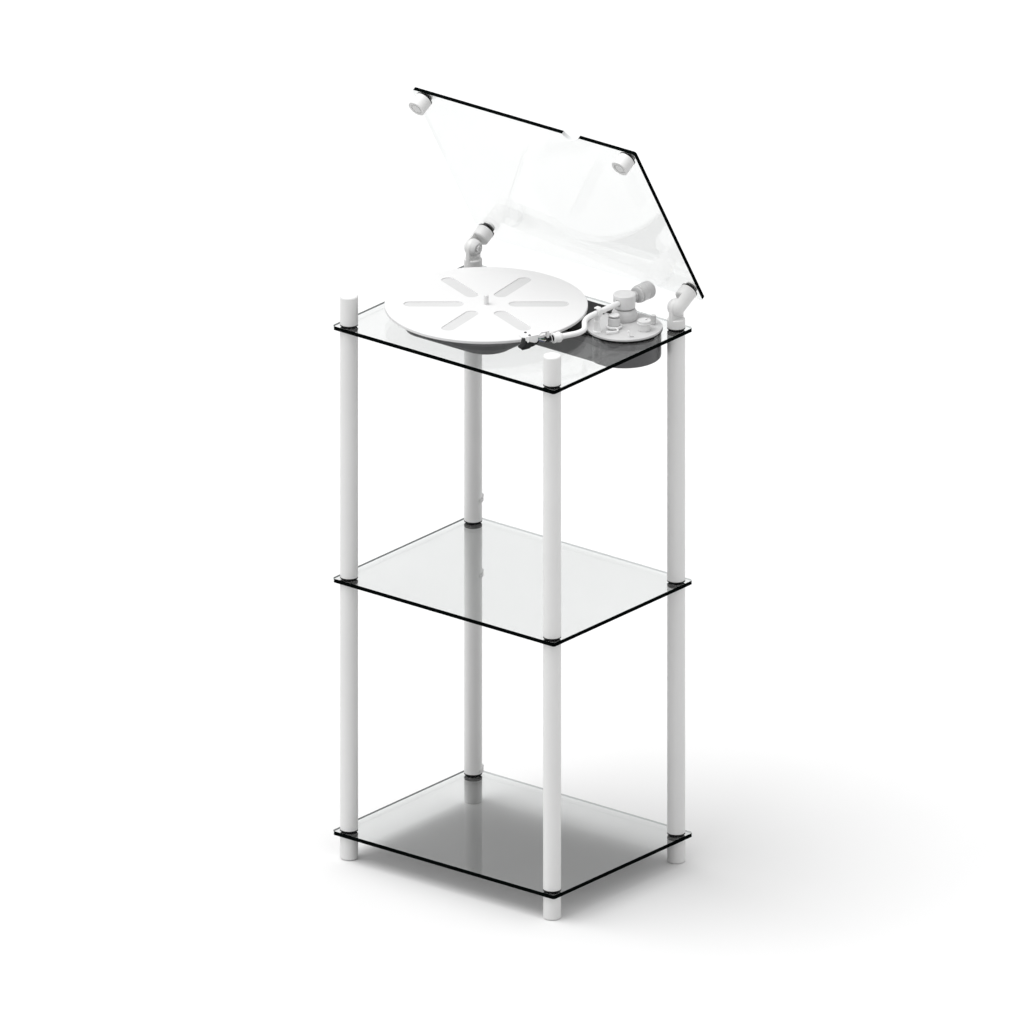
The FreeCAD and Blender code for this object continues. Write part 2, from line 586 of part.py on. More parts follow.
def casing():
    outer = case_form("case_outer", "0", "case_floor", DECK, "case_edge")
    inner = case_form("case_inner", "wall", "case_floor - 1", f"{DECK} - wall")
    holes = case_holes("case_top", f"{DECK} - wall - 1", "wall + 2")
    inlet = cylinder("case_inlet", "inlet_radius + 0.2", "wall + 4", ("inlet_x", f"{REAR_FACE} - wall - 2",
                                                                    "socket_height"), "y")
    sockets = [cylinder(f"case_socket_{i}", "socket_radius - 1", "wall + 4",
                        (f"socket_x + {i} * socket_pitch", f"{REAR_FACE} - wall - 2", "socket_height"), "y")
               for i in range(2)]
    node(cut("case_shell", outer, inner, *holes, inlet, *sockets))
    node(case_form("case_cover", "wall + cover_gap", "case_floor + 0.5", "case_floor + 0.5 + cover_thick"))
    deck = case_form("deck_form", "-deck_lip", DECK, BASE)
    node(cut("deck_plate", deck, *case_holes("deck", f"{DECK} - 1", "deck_thick + 2")))
    pane = glass_shelf("top_pane", SHELF_TOP)
    opening = case_form("pane_opening", "-glass_gap", f"{SHELF_TOP} - 1", f"{DECK} + 1")
    node(cut("shelf_top", pane, opening))


def casing_fittings():
    plate = block("board_plate", ("board_x", "board_y", "board_z"), "board_length", "board_width",
                  "board_thick")
    chips = [block(f"board_chip_{i}", (f"board_x + {8 + 22 * i}", f"board_y + {10 + 6 * i}",
                                       "board_z + board_thick - 0.2"), "14", "12", f"{4 + 2 * i}")
             for i in range(4)]
    node(fuse("control_board", plate, *chips))
    depth = "wall + 6"
    shell = cylinder("inlet_shell", "inlet_radius", depth, ("inlet_x", f"{REAR_FACE} - wall - 5",
                                                          "socket_height"), "y")
    well = cylinder("inlet_well", "inlet_radius - 1.5", "6", ("inlet_x", f"{REAR_FACE} - 4",
                                                              "socket_height"), "y")
    pin = cylinder("inlet_pin_rod", "inlet_pin", "5", ("inlet_x", f"{REAR_FACE} - 5", "socket_height"), "y")
    node(fuse("power_inlet", cut("inlet_cup", shell, well), pin))
    sockets = []
    for i in range(2):
        x = f"socket_x + {i} * socket_pitch"
        tail = cylinder(f"socket_{i}_tail", "socket_radius - 1.2", "wall + 2",
                        (x, f"{REAR_FACE} - wall - 1.5",
                                                                             "socket_height"), "y")
        barrel = cylinder(f"socket_{i}_barrel", "socket_radius", "socket_out",
                          (x, REAR_FACE, "socket_height"), "y")
        hole = cylinder(f"socket_{i}_hole", "socket_bore", "socket_out", (x, f"{REAR_FACE} + 1.5",
                                                                       "socket_height"), "y")
        sockets.append(cut(f"socket_{i}", fuse(f"socket_{i}_both", tail, barrel), hole))
    node(group("signal_sockets", *sockets))


# ---------------------------------------------------------------- platter and drive
def platter():
    """A turned disc with six shallow rounded recesses set round the spindle."""
    body = row_body("platter", "spindle_x", "spindle_y")
    disc = sketch_on(body, "platter_outline", "platter_height")
    circle(disc, "platter_radius")
    pad(body, disc, "platter_disc", "platter_thick")
    bore = sketch_on(body, "platter_bore_outline", "platter_height - 1")
    circle(bore, "platter_bore")
    drilled = pocket(body, bore, "platter_bore", "platter_thick + 2")
    rims = [f"Edge{i}" for i, edge in enumerate(drilled.Shape.Edges, start=1)
            if hasattr(edge.Curve, "Radius") and edge.Curve.Radius > size("platter_radius") - 1
            and len(edge.Vertexes) == 1]
    bevel = body.newObject("PartDesign::Chamfer", "platter_bevel")
    bevel.Base = (drilled, rims)
    bevel.setExpression("Size", bound("platter_edge"))
    slot = sketch_on(body, "recess_outline", "platter_height + platter_thick - recess_depth")
    slot.setExpression("AttachmentOffset.Rotation.Angle", "Dims.recess_turn")
    inner, outer, half = size("recess_inner"), size("recess_outer"), size("recess_radius")
    near = Part.ArcOfCircle(Part.Circle(Vec(inner, 0, 0), Vec(0, 0, 1), half), math.pi / 2, 3 * math.pi / 2)
    far = Part.ArcOfCircle(Part.Circle(Vec(outer, 0, 0), Vec(0, 0, 1), half), -math.pi / 2, math.pi / 2)
    slot.addGeometry(near)
    slot.addGeometry(far)
    slot.addGeometry(Part.LineSegment(Vec(inner, -half, 0), Vec(outer, -half, 0)))
    slot.addGeometry(Part.LineSegment(Vec(outer, half, 0), Vec(inner, half, 0)))
    for a, pa, b, pb in ((0, 2, 2, 1), (2, 2, 1, 1), (1, 2, 3, 1), (3, 2, 0, 1)):
        slot.addConstraint(Sketcher.Constraint("Tangent", a, pa, b, pb))
    slot.addConstraint(Sketcher.Constraint("PointOnObject", 0, 3, -1))
    slot.addConstraint(Sketcher.Constraint("Horizontal", 2))
    hold(slot, "recess_inner", "DistanceX", -1, 1, 0, 3, inner)
    hold(slot, "recess_outer", "DistanceX", -1, 1, 1, 3, outer)
    hold(slot, "recess_radius", "Radius", 0, half)
    cut_one = pocket(body, slot, "platter_recess", "recess_depth + 1")
    before = body.Shape.Volume
    ring = body.newObject("PartDesign::PolarPattern", "platter_recesses")
    ring.Originals = [cut_one]
    ring.Axis = (next(f for f in body.Origin.OriginFeatures if f.Role == "Z_Axis"), [""])
    ring.Angle = 360
    ring.Occurrences = 6
    body.Tip = ring
    doc.recompute()
    if body.Shape.Volume >= before - 100:
        raise RuntimeError("the recesses did not repeat")
    node(body)


def drive():
    centre = ("spindle_x", "spindle_y")
    disc = cylinder("sub_disc", "drive_radius", "drive_top - drive_low", (*centre, "drive_low"))
    shaft = cylinder("sub_shaft", "shaft_radius", "drive_low - shaft_low + 1", (*centre, "shaft_low"))
    boss = cylinder("sub_boss", "boss_radius", "boss_top - drive_top + 1", (*centre, "drive_top - 1"))
    pin = cylinder("sub_pin", "spindle_radius", "spindle_top - boss_top + 1", (*centre, "boss_top - 1"))
    tip = eased("Part::Fillet", "sub_pin_tip", pin, "shoulder_edge",
                lambda e: at_height(e, size("spindle_top")))
    node(fuse("sub_platter", disc, shaft, boss, tip))
    tube = cylinder("bearing_tube", "bearing_radius", "bearing_top - bearing_low", (*centre, "bearing_low"))
    flange = cylinder("bearing_flange", "flange_radius", "flange_thick",
                      (*centre, f"{DECK} - wall - flange_thick"))
    well = cylinder("bearing_well", "bearing_bore", "bearing_top - shaft_low + 2",
                    (*centre, "shaft_low - 0.5"))
    node(cut("bearing_housing", fuse("bearing_outer", tube, flange), well))
    spot = ("motor_x", "spindle_y")
    can = cylinder("motor_can", "motor_radius", "motor_top - motor_low", (*spot, "motor_low"))
    hole = cylinder("motor_well", "motor_bore", "motor_top - motor_low", (*spot, "motor_low + 4"))
    node(cut("drive_motor", can, hole))
    rod = cylinder("pulley_rod", "motor_shaft", "pulley_low - motor_low - 4", (*spot, "motor_low + 5"))
    wheel = cylinder("pulley_wheel", "pulley_radius", "pulley_top - pulley_low", (*spot, "pulley_low"))
    low = cylinder("pulley_low_rim", "pulley_flange", "pulley_rim", (*spot, "pulley_low"))
    high = cylinder("pulley_high_rim", "pulley_flange", "pulley_rim", (*spot, "pulley_top - pulley_rim"))
    node(fuse("motor_pulley", rod, wheel, low, high))


def belt_face(gap):
    """The area inside a belt that stands a gap off both wheels: two arcs and their common tangents."""
    centre_y = size("spindle_y") - size("row_shift")
    big, small = size("drive_radius") + gap, size("pulley_radius") + gap
    big_x, small_x = size("spindle_x"), size("motor_x")
    lean = math.acos((big - small) / (big_x - small_x))

    def on(x, radius, angle):
        return Vec(x + radius * math.cos(angle), centre_y + radius * math.sin(angle), size("belt_low"))

    up, down = math.pi - lean, math.pi + lean
    far = Part.Arc(on(big_x, big, up), on(big_x, big, 0), on(big_x, big, down)).toShape()
    near = Part.Arc(on(small_x, small, up), on(small_x, small, math.pi), on(small_x, small, down)).toShape()
    top = Part.LineSegment(on(big_x, big, up), on(small_x, small, up)).toShape()
    bottom = Part.LineSegment(on(big_x, big, down), on(small_x, small, down)).toShape()
    return Part.Face(Part.Wire(Part.__sortEdges__([far, near, top, bottom])))


def drive_belt():
    gap, thick = size("belt_gap"), size("belt_thick")
    rise = Vec(0, 0, size("belt_height"))
    band = belt_face(gap + thick).extrude(rise).cut(belt_face(gap).extrude(rise))
    item = doc.addObject("Part::Feature", "drive_belt")
    item.Shape = band.Solids[0]
    node(item)


# ---------------------------------------------------------------- tonearm base and controls
def arm_base():
    body = row_body("arm_base_body", "arm_x", "arm_y")
    outline = sketch_on(body, "arm_base_outline", BASE)
    circle(outline, "base_radius")
    slab_pad = pad(body, outline, "arm_base_pad", "base_thick")
    doc.recompute()
    top = sum_heights(BASE_TOP)
    rim = [f"Edge{i}" for i, edge in enumerate(slab_pad.Shape.Edges, start=1)
           if at_height(edge, top) and len(edge.Vertexes) == 1]
    soft = body.newObject("PartDesign::Fillet", "arm_base_edge")
    soft.Base = (slab_pad, rim)
    soft.setExpression("Radius", bound("base_edge"))
    tools = [
        cylinder("base_knob_hole", "spigot_bore", "base_thick + 1", ("knob_x", "knob_y", f"{BASE} + 0.5")),
        cylinder("base_small_hole", "thin_spigot_bore", "base_thick + 1",
                 ("small_x", "small_y", f"{BASE} + 0.5")),
        switch_slot(),
    ]
    node(cut("arm_base", body, *tools))


def switch_slot():
    """The slot that the power switch slides in, cut through the base disc."""
    angle = size("switch_turn")
    ends = []
    for end, reach in (("start", "-switch_back + switch_slot"), ("stop", "switch_travel")):
        ends.append(cylinder(f"switch_slot_{end}", "switch_slot", "base_thick + 1", (
            f"switch_x + ({reach}) * cos({angle})", f"switch_y + ({reach}) * sin({angle})", f"{BASE} + 0.2")))
    long_side = block("switch_slot_middle", ("0", "-switch_slot", "0"),
                      "switch_travel + switch_back - switch_slot", "2 * switch_slot", "base_thick + 1", True)
    middle = group("switch_slot_turned", long_side)
    start = -size("switch_back") + size("switch_slot")
    radians = math.radians(angle)
    place = Vec(size("switch_x") + start * math.cos(radians),
                size("switch_y") + start * math.sin(radians) - size("row_shift"), sum_heights(BASE) + 0.2)
    middle.Placement = FreeCAD.Placement(place, FreeCAD.Rotation(Vec(0, 0, 1), angle))
    return fuse("switch_slot_form", *ends, middle)


def tower():
    """The bell under the arm's pivot, with the neck that the pivot drum turns on."""
    centre = ("pivot_x", "pivot_y")
    half = "bell_height / 2"
    lower = cone("bell_lower", "bell_foot", "bell_belly", half, (*centre, BASE_TOP))
    upper = cone("bell_upper", "bell_belly", "bell_top", half, (*centre, f"{BASE_TOP} + {half}"))
    neck = cylinder("bell_neck", "neck_radius", f"neck_top - ({BASE_TOP})", (*centre, BASE_TOP))
    node(fuse("arm_tower", lower, upper, neck))
    drum = cone("drum_form", "drum_foot", "drum_radius", "drum_top - drum_low", (*centre, "drum_low"))
    soft = eased("Part::Fillet", "drum_soft", drum, "drum_edge", lambda e: at_height(e, size("drum_top")))
    socket = cylinder("drum_socket", "neck_bore", f"neck_top - drum_low + 1.4", (*centre, "drum_low - 1"))
    slot = block("drum_slot", ("pivot_x - slot_half", "pivot_y - 20", "slot_low"), "2 * slot_half", "40",
                 "slot_high - slot_low")
    axle = cylinder("drum_axle", "gimbal_bore", "2 * gimbal_reach + 1",
                    ("pivot_x - gimbal_reach - 0.5", "pivot_y", "tube_height"), "x")
    node(cut("arm_drum", soft, socket, slot, axle))


def knobs():
    """The speed knob, padded up in three steps, and the small side-force knob behind it."""
    body = row_body("speed_knob", "knob_x", "knob_y")
    clear = "0.3"
    steps = (
        ("stem", "spigot", f"{BASE} + 0.8", f"base_thick + {clear}"),
        ("skirt", "knob_skirt", f"{BASE_TOP} + {clear}", "knob_height - knob_cap_height"),
        ("ring", "knob_ring", f"{BASE_TOP} + {clear} + knob_height - knob_cap_height - knob_ring_height",
         "knob_ring_height"),
        ("cap", "knob_cap", f"{BASE_TOP} + {clear} + knob_height - knob_cap_height", "knob_cap_height"),
    )
    for part, radius, low, height in steps:
        outline = sketch_on(body, f"knob_{part}_outline", low)
        circle(outline, radius)
        pad(body, outline, f"knob_{part}_pad", height)
    node(body)
    spot = ("small_x", "small_y")
    stem = cylinder("small_stem", "thin_spigot", f"base_thick + {clear}", (*spot, f"{BASE} + 0.8"))
    grip = cylinder("small_grip", "small_radius", "small_height", (*spot, f"{BASE_TOP} + {clear}"))
    top = sum_heights(BASE_TOP) + 0.3 + size("small_height")
    soft = eased("Part::Fillet", "small_soft", grip, "base_edge", lambda e: at_height(e, top))
    node(fuse("side_force_knob", stem, soft))


def switch_lever():
    spot = ("switch_x", "switch_y")
    stem = cylinder("switch_stem", "switch_radius", "base_thick - 0.5 + switch_height",
                    (*spot, f"{BASE} + 0.5"))
    tip = ball("switch_tip", "switch_radius + 0.3", (*spot, f"{BASE_TOP} + switch_height"))
    node(fuse("power_switch", stem, tip))


def cueing():
    """The cue lift: a fixed pot, a rod with a bar that rises under the arm, and a hooked lever."""
    spot = ("cue_x", "cue_y")
    pot = cylinder("cue_pot_form", "cue_radius", "cue_height", (*spot, BASE_TOP))
    well = cylinder("cue_well", "lift_bore", "cue_height", (*spot, "lift_low - 0.5"))
    node(cut("cue_pot", pot, well))
    rod = cylinder("cue_rod", "lift_rod", "lift_high - lift_low", (*spot, "lift_low"))
    bar = block("cue_bar", ("lift_reach", "cue_y - lift_half", "lift_high - lift_bar"),
                "cue_x - lift_reach", "2 * lift_half", "lift_bar")
    disc = cylinder("cue_disc", "lift_disc", "lift_bar", (*spot, "lift_high - lift_bar"))
    node(fuse("cue_lift", rod, bar, disc))
    ring = cylinder("lever_ring_form", "lever_ring", "lever_thick", ("0", "0", "0"), local=True)
    spoke = block("lever_spoke", ("0", "-lever_half", "0"), "lever_out + lever_half", "2 * lever_half",
                  "lever_thick", True)
    hook = block("lever_hook_form", ("lever_out - lever_half", "-lever_hook", "0"), "2 * lever_half",
                 "lever_hook",
                 "lever_thick", True)
    end = cylinder("lever_end", "lever_half + 0.6", "lever_thick", ("lever_out", "-lever_hook", "0"),
                   local=True)
    hole = cylinder("lever_hole", "lever_bore", "lever_thick + 2", ("0", "0", "-1"), local=True)
    lever = cut("cue_lever", fuse("lever_whole", ring, spoke, hook, end), hole)
    place = Vec(size("cue_x"), size("cue_y") - size("row_shift"), size("lever_low"))
    lever.Placement = FreeCAD.Placement(place, FreeCAD.Rotation(Vec(0, 0, 1), size("lever_turn")))
    node(lever)


def arm_rest():
    """A pillar with a clip round the tube, open on the side that the arm swings away to."""
    left, front = "tube_x - rest_half_x", "rest_y - rest_half_y"
    inner = "tube_x + tube_radius + 0.6"
    pillar = cylinder("rest_pillar", "rest_radius", f"rest_floor - ({BASE_TOP}) + 1",
                      ("tube_x", "rest_y", BASE_TOP))
    floor = block("rest_floor_form", (left, front, "rest_floor"), "2 * rest_half_x", "2 * rest_half_y",
                  "rest_lip")
    wall = block("rest_wall", (inner, front, "rest_floor"), "rest_half_x - tube_radius - 0.6",
                 "2 * rest_half_y", "rest_roof - rest_floor + rest_lip")
    roof = block("rest_roof_form", ("tube_x - rest_tip", front, "rest_roof"), "rest_tip + rest_half_x",
                 "2 * rest_half_y", "rest_lip")
    node(fuse("arm_rest", pillar, floor, wall, roof))


# ---------------------------------------------------------------- tonearm
def tube_route():
    """The tube's centre line: straight runs joined by tangent arcs, from inside the drum to the collar."""
    shift, height = size("row_shift"), size("tube_height")
    back = size("pivot_y") + size("weight_to") - 3
    heading = math.radians(size("shell_turn"))
    elbow = Vec(size("elbow_x"), size("elbow_y"), 0)
    end = elbow + Vec(math.cos(heading), math.sin(heading), 0) * (size("collar_at") + 6)
    corners = [Vec(size("tube_x"), back, 0), Vec(size("tube_x"), size("bend_y"), 0), elbow, end]
    corners = [Vec(p.x, p.y - shift, height) for p in corners]
    edges, start = [], corners[0]
    for before, point, after, radius in zip(corners, corners[1:], corners[2:],
                                            (size("bend_radius"), size("elbow_radius"))):
        into = (point - before).normalize()
        out = (after - point).normalize()
        turn = into.getAngle(out)
        reach = radius * math.tan(turn / 2)
        first, last = point - into * reach, point + out * reach
        inward = (out - into).normalize()
        centre = point + inward * (radius / math.cos(turn / 2))
        edges.append(Part.LineSegment(start, first).toShape())
        edges.append(Part.Arc(first, centre - inward * radius, last).toShape())
        start = last
    edges.append(Part.LineSegment(start, corners[-1]).toShape())
    return Part.Wire(edges)


def in_shell_frame(item):
    """Turns a piece built along +X from the collar's middle to the heading of the tube's last run."""
    heading = math.radians(size("shell_turn"))
    x = size("elbow_x") + size("collar_at") * math.cos(heading)
    y = size("elbow_y") + size("collar_at") * math.sin(heading) - size("row_shift")
    item.Placement = FreeCAD.Placement(Vec(x, y, 0), FreeCAD.Rotation(Vec(0, 0, 1), size("shell_turn")))
    return item


def arm_tube():
    route = tube_route()
    ring = Part.Wire(Part.makeCircle(size("tube_radius"), route.Vertexes[0].Point, Vec(0, -1, 0)))
    solid = route.makePipeShell([ring], True, False)
    wanted = math.pi * size("tube_radius") ** 2 * route.Length
    if abs(solid.Volume / wanted - 1) > 0.01:
        raise RuntimeError("the arm tube's volume is wrong")
    sweep = doc.addObject("Part::Feature", "arm_tube_sweep")
    sweep.Shape = solid
    thin = block("tube_thin", ("tube_x - 10", "pivot_y + 20", "tube_height - 10"), "20", "50", "20")
    stub = cylinder("tube_stub", "stub_radius", "weight_to - 4 - 10",
                    ("tube_x", "pivot_y + 10", "tube_height"), "y")
    cross = cylinder("tube_cross", "gimbal_radius", "2 * gimbal_reach",
                     ("pivot_x - gimbal_reach", "pivot_y",
                                                                      "tube_height"), "x")
    collar = cylinder("collar_form", "collar_radius", "collar_length",
                      ("-collar_length / 2", "0", "tube_height"),
                      "x", True)
    turned = in_shell_frame(group("collar_turned", collar))
    socket = cylinder("collar_socket", "plug_radius + 0.05", "collar_length", ("1", "0", "tube_height"),
                      "x", True)
    bored = in_shell_frame(group("collar_socket_turned", socket))
    whole = fuse("tube_whole", cut("tube_front", sweep, thin), stub, cross, turned)
    node(cut("arm_tube", whole, bored))


def counterweight():
    centre = ("tube_x", "tube_height")
    dial = cylinder("weight_dial", "dial_radius", "dial_length + 1",
                    (centre[0], "pivot_y + weight_from", centre[1]),
                    "y")
    body = cylinder("weight_body", "weight_radius", "weight_to - weight_from - dial_length",
                    (centre[0], "pivot_y + weight_from + dial_length", centre[1]), "y")
    far = size("pivot_y") + size("weight_to") - size("row_shift")
    soft = eased("Part::Fillet", "weight_soft", body, "shoulder_edge",
                 lambda e: all(abs(v.Y - far) < 1e-4 for v in e.Vertexes))
    hole = cylinder("weight_hole", "stub_bore", "weight_to - weight_from - 1",
                    (centre[0], "pivot_y + weight_from - 1", centre[1]), "y")
    node(cut("counterweight", fuse("weight_whole", dial, soft), hole))


def arm_plug():
    """The dark plug that sits in the collar and carries the headshell."""
    plug = cylinder("plug_form", "plug_radius", "plug_to - 2", ("2", "0", "tube_height"), "x", True)
    node(in_shell_frame(group("arm_plug", plug)))


def headshell():
    """A plate over the pickup with two side skirts, held by a narrow neck that rises from the plug."""
    rise = block("shell_rise", ("neck_from", "-neck_half", "tube_height + 3"), "neck_to - neck_from",
                 "2 * neck_half", "shell_top - tube_height - 3", True)
    neck = block("shell_neck", ("neck_from", "-neck_half", "shell_top - shell_plate"),
                 "shell_from - neck_from + 1", "2 * neck_half", "shell_plate", True)
    plate = block("shell_plate_form", ("shell_from", "-shell_half", "shell_top - shell_plate"),
                  "shell_to - shell_from", "2 * shell_half", "shell_plate", True)
    skirts = [block(f"shell_skirt_{i}", ("skirt_from", low, "skirt_low"), "skirt_to - skirt_from",
                    "skirt_thick",
                    "shell_top - skirt_low", True)
              for i, low in enumerate(("shell_half - skirt_thick", "-shell_half"))]
    holes = [cylinder(f"shell_hole_{i}", "screw_bore", "10", ("screw_at", f"{sign} * screw_pitch / 2",
                                                          "shell_top - 5"), local=True)
             for i, sign in enumerate((-1, 1))]
    node(in_shell_frame(cut("headshell", fuse("shell_whole", rise, neck, plate, *skirts), *holes)))


def cartridge():
    """The pickup: a wedge-fronted body and the stylus under its nose, all in one turned frame."""
    top = size("shell_top") - size("shell_plate")
    half = size("cart_half")
    profile = [
        (size("cart_from"), top),
        (size("cart_flat_end"), top),
        (size("cart_brow"), size("cart_brow_height")),
        (size("cart_nose"), size("cart_nose_height")),
        (size("cart_chin"), size("cart_low")),
        (size("cart_keel"), size("cart_low")),
        (size("cart_from"), size("cart_tail_height")),
    ]
    points = [Vec(along, -half, height) for along, height in profile]
    side = Part.Face(Part.makePolygon(points + points[:1]))
    body = side.extrude(Vec(0, 2 * half, 0))
    root = Vec(size("needle_at"), 0, size("needle_top"))
    needle = Part.makeCone(size("needle_root"), size("needle_tip"), size("needle_length"), root,
                           Vec(0, 0, -1))
    item = doc.addObject("Part::Feature", "cartridge")
    item.Shape = body.fuse(needle).removeSplitter()
    node(in_shell_frame(item))


def leads():
    """Four short leads that arch from the plug's pins to the pickup's pins."""
    pitch, radius, height = size("lead_pitch"), size("lead_radius"), size("tube_height")
    start, end = size("plug_to") + 0.7, size("cart_from") - 0.1
    solids = []
    for i in range(4):
        side = (i - 1.5) * pitch
        low = height - 1.2 + 1.6 * (i % 2)
        first, last = Vec(start, side, low), Vec(end, side, low + 2)
        top = Vec((start + end) / 2, side * 1.25, low + 3.4)
        arc = Part.Arc(first, top, last).toShape()
        ring = Part.Wire(Part.makeCircle(radius, first, arc.tangentAt(arc.FirstParameter)))
        solids.append(Part.Wire([arc]).makePipeShell([ring], True, False))
    item = doc.addObject("Part::Feature", "cartridge_leads")
    item.Shape = Part.makeCompound(solids)
    node(in_shell_frame(item))


# ---------------------------------------------------------------- assembly
def build():
    for side in CORNERS:
        foot(side)
    for side in CORNERS:
        post("lower_post", side, POST_LOW)
        post("upper_post", side, POST_HIGH)
    post_inserts()
    shelf_studs()
    shelf_washers()
    node(glass_shelf("shelf_bottom", SHELF_LOW))
    node(glass_shelf("shelf_middle", SHELF_MID))
    front_cap("front_left")
    front_cap("front_right")
    cable_clips()
    for side, out in (("left", -1), ("right", 1)):
        knuckle(side)
        hinge_bolt(side, out)
        hinge_arm(side, out)
        lid_rest(side, out)
    lid_glass()
    lid_washers()
    lid_caps()
    casing()
    casing_fittings()
    platter()
    drive()
    drive_belt()
    arm_base()
    tower()
    knobs()
    switch_lever()
    cueing()
    arm_rest()
    arm_tube()
    counterweight()
    arm_plug()
    headshell()
    cartridge()
    leads()
    doc.recompute()


def export():
    """Checks every object, then writes each node's solids."""
    for item in doc.Objects:
        if "Invalid" in item.State or "Error" in item.State:
            raise RuntimeError(f"{item.Name} failed: {item.State}")
    if len({item.Label for item in nodes}) != len(nodes):
        raise RuntimeError("two nodes share a name")
    for item in nodes:
        shape = item.Shape
        if shape.isNull() or not shape.isValid() or not shape.Solids:
            raise RuntimeError(f"{item.Label} has no valid solid")
    os.makedirs("parts", exist_ok=True)
    for item in nodes:
        item.Shape.exportStep(f"parts/{item.Label}.step")
        volume = item.Shape.Volume / 1000
        print(f"{item.Label:24s} solids {len(item.Shape.Solids):3d}  volume {volume:9.2f} cm3")


build()
export()
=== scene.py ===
import math
import bmesh
import bpy
from mathutils import Matrix, Vector


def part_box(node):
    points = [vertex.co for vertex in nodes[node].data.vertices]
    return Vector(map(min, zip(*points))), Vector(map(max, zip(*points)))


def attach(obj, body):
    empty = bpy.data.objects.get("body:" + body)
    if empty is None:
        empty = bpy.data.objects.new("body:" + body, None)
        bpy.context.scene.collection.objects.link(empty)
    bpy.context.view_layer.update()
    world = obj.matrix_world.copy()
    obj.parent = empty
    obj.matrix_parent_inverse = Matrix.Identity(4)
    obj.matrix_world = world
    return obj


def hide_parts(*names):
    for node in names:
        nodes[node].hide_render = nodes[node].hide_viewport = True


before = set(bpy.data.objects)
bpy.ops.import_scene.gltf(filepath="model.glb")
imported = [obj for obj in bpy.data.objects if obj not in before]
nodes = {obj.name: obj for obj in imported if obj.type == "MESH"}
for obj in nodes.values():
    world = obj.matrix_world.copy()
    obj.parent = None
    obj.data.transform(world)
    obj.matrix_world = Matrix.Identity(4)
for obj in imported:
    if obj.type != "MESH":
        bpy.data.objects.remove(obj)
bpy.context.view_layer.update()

scene = bpy.context.scene
MM = 0.001
LID_TILT = math.radians(60)      # the angle of the open lid's pane to level
LID_NOTCH_AT = 0.089             # the middle of the finger notch along the lid's front edge, in metres
LID_NOTCH_HALF = 0.0165          # half of the notch's width
RECESS_DEPTH = 0.0005            # a platter face this far under its top belongs to a recess


def middle(node):
    """The centre of a CAD node's box."""
    low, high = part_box(node)
    return (low + high) / 2


SHIFT = middle("shelf_bottom").y


# ---------------------------------------------------------------- materials
def add(tree, kind, **values):
    """A new node, with its properties or named inputs set."""
    item = tree.nodes.new(kind)
    for key, value in values.items():
        if hasattr(item, key):
            setattr(item, key, value)
        else:
            item.inputs[key.replace("_", " ")].default_value = value
    return item


def coordinates(tree, scale=(1, 1, 1)):
    """Object coordinates, stretched by scale."""
    place = add(tree, "ShaderNodeTexCoord")
    stretch = add(tree, "ShaderNodeMapping")
    stretch.inputs["Scale"].default_value = scale
    tree.links.new(place.outputs["Object"], stretch.inputs["Vector"])
    return stretch.outputs["Vector"]


def noise(tree, vector, scale, detail=3.0, roughness=0.55):
    """A noise texture's factor."""
    item = add(tree, "ShaderNodeTexNoise")
    item.inputs["Scale"].default_value = scale
    item.inputs["Detail"].default_value = detail
    item.inputs["Roughness"].default_value = roughness
    tree.links.new(vector, item.inputs["Vector"])
    return item.outputs["Fac"]


def span(tree, value, low, high, from_low=0.3, from_high=0.7):
    """Maps a value to a range."""
    item = add(tree, "ShaderNodeMapRange")
    item.inputs["From Min"].default_value = from_low
    item.inputs["From Max"].default_value = from_high
    item.inputs["To Min"].default_value = low
    item.inputs["To Max"].default_value = high
    tree.links.new(value, item.inputs["Value"])
    return item.outputs["Result"]


def blend_colours(tree, factor, first, second):
    """A colour between two, by a factor."""
    item = add(tree, "ShaderNodeMix", data_type="RGBA")
    item.inputs[6].default_value = (*first, 1)
    item.inputs[7].default_value = (*second, 1)
    tree.links.new(factor, item.inputs["Factor"])
    return item.outputs[2]


def bump(tree, shader, height, distance, strength=1.0):
    """Feeds a height into a shader's normal."""
    item = add(tree, "ShaderNodeBump")
    item.inputs["Distance"].default_value = distance
    item.inputs["Strength"].default_value = strength
    tree.links.new(height, item.inputs["Height"])
    tree.links.new(item.outputs["Normal"], shader.inputs["Normal"])


def start(name):
    """An empty material with a Principled shader."""
    material = bpy.data.materials.new(name)
    material.use_nodes = True
    tree = material.node_tree
    tree.nodes.clear()
    shader = add(tree, "ShaderNodeBsdfPrincipled")
    output = add(tree, "ShaderNodeOutputMaterial")
    tree.links.new(shader.outputs[0], output.inputs[0])
    return material, tree, shader


def tone(colour, factor):
    """A colour made darker or lighter, never past full white."""
    return tuple(min(1.0, c * factor) for c in colour)


def coated(name, colour, rough=0.42, drift=0.03, patch=14, grain=650, depth=0.00002, metal=0.0, coat=0.0,
           spread=0.06, stretch=(1, 1, 1), detail=3.0, gloss=0.5):
    """A sprayed or moulded surface: slow colour drift, fine grain in the normal and a live roughness."""
    material, tree, shader = start(name)
    where = coordinates(tree)
    fine = coordinates(tree, stretch)
    slow = noise(tree, where, patch, 4)
    colour_out = blend_colours(tree, span(tree, slow, 0, 1), tone(colour, 1 - drift),
                               tone(colour, 1 + drift))
    tree.links.new(colour_out, shader.inputs["Base Color"])
    texture = noise(tree, fine, grain, detail)
    tree.links.new(span(tree, noise(tree, fine, grain / 5, 3), rough - spread, rough + spread),
                   shader.inputs["Roughness"])
    bump(tree, shader, texture, depth)
    shader.inputs["Metallic"].default_value = metal
    shader.inputs["Specular IOR Level"].default_value = gloss
    if coat:
        shader.inputs["Coat Weight"].default_value = coat
        shader.inputs["Coat Roughness"].default_value = 0.2
    return material


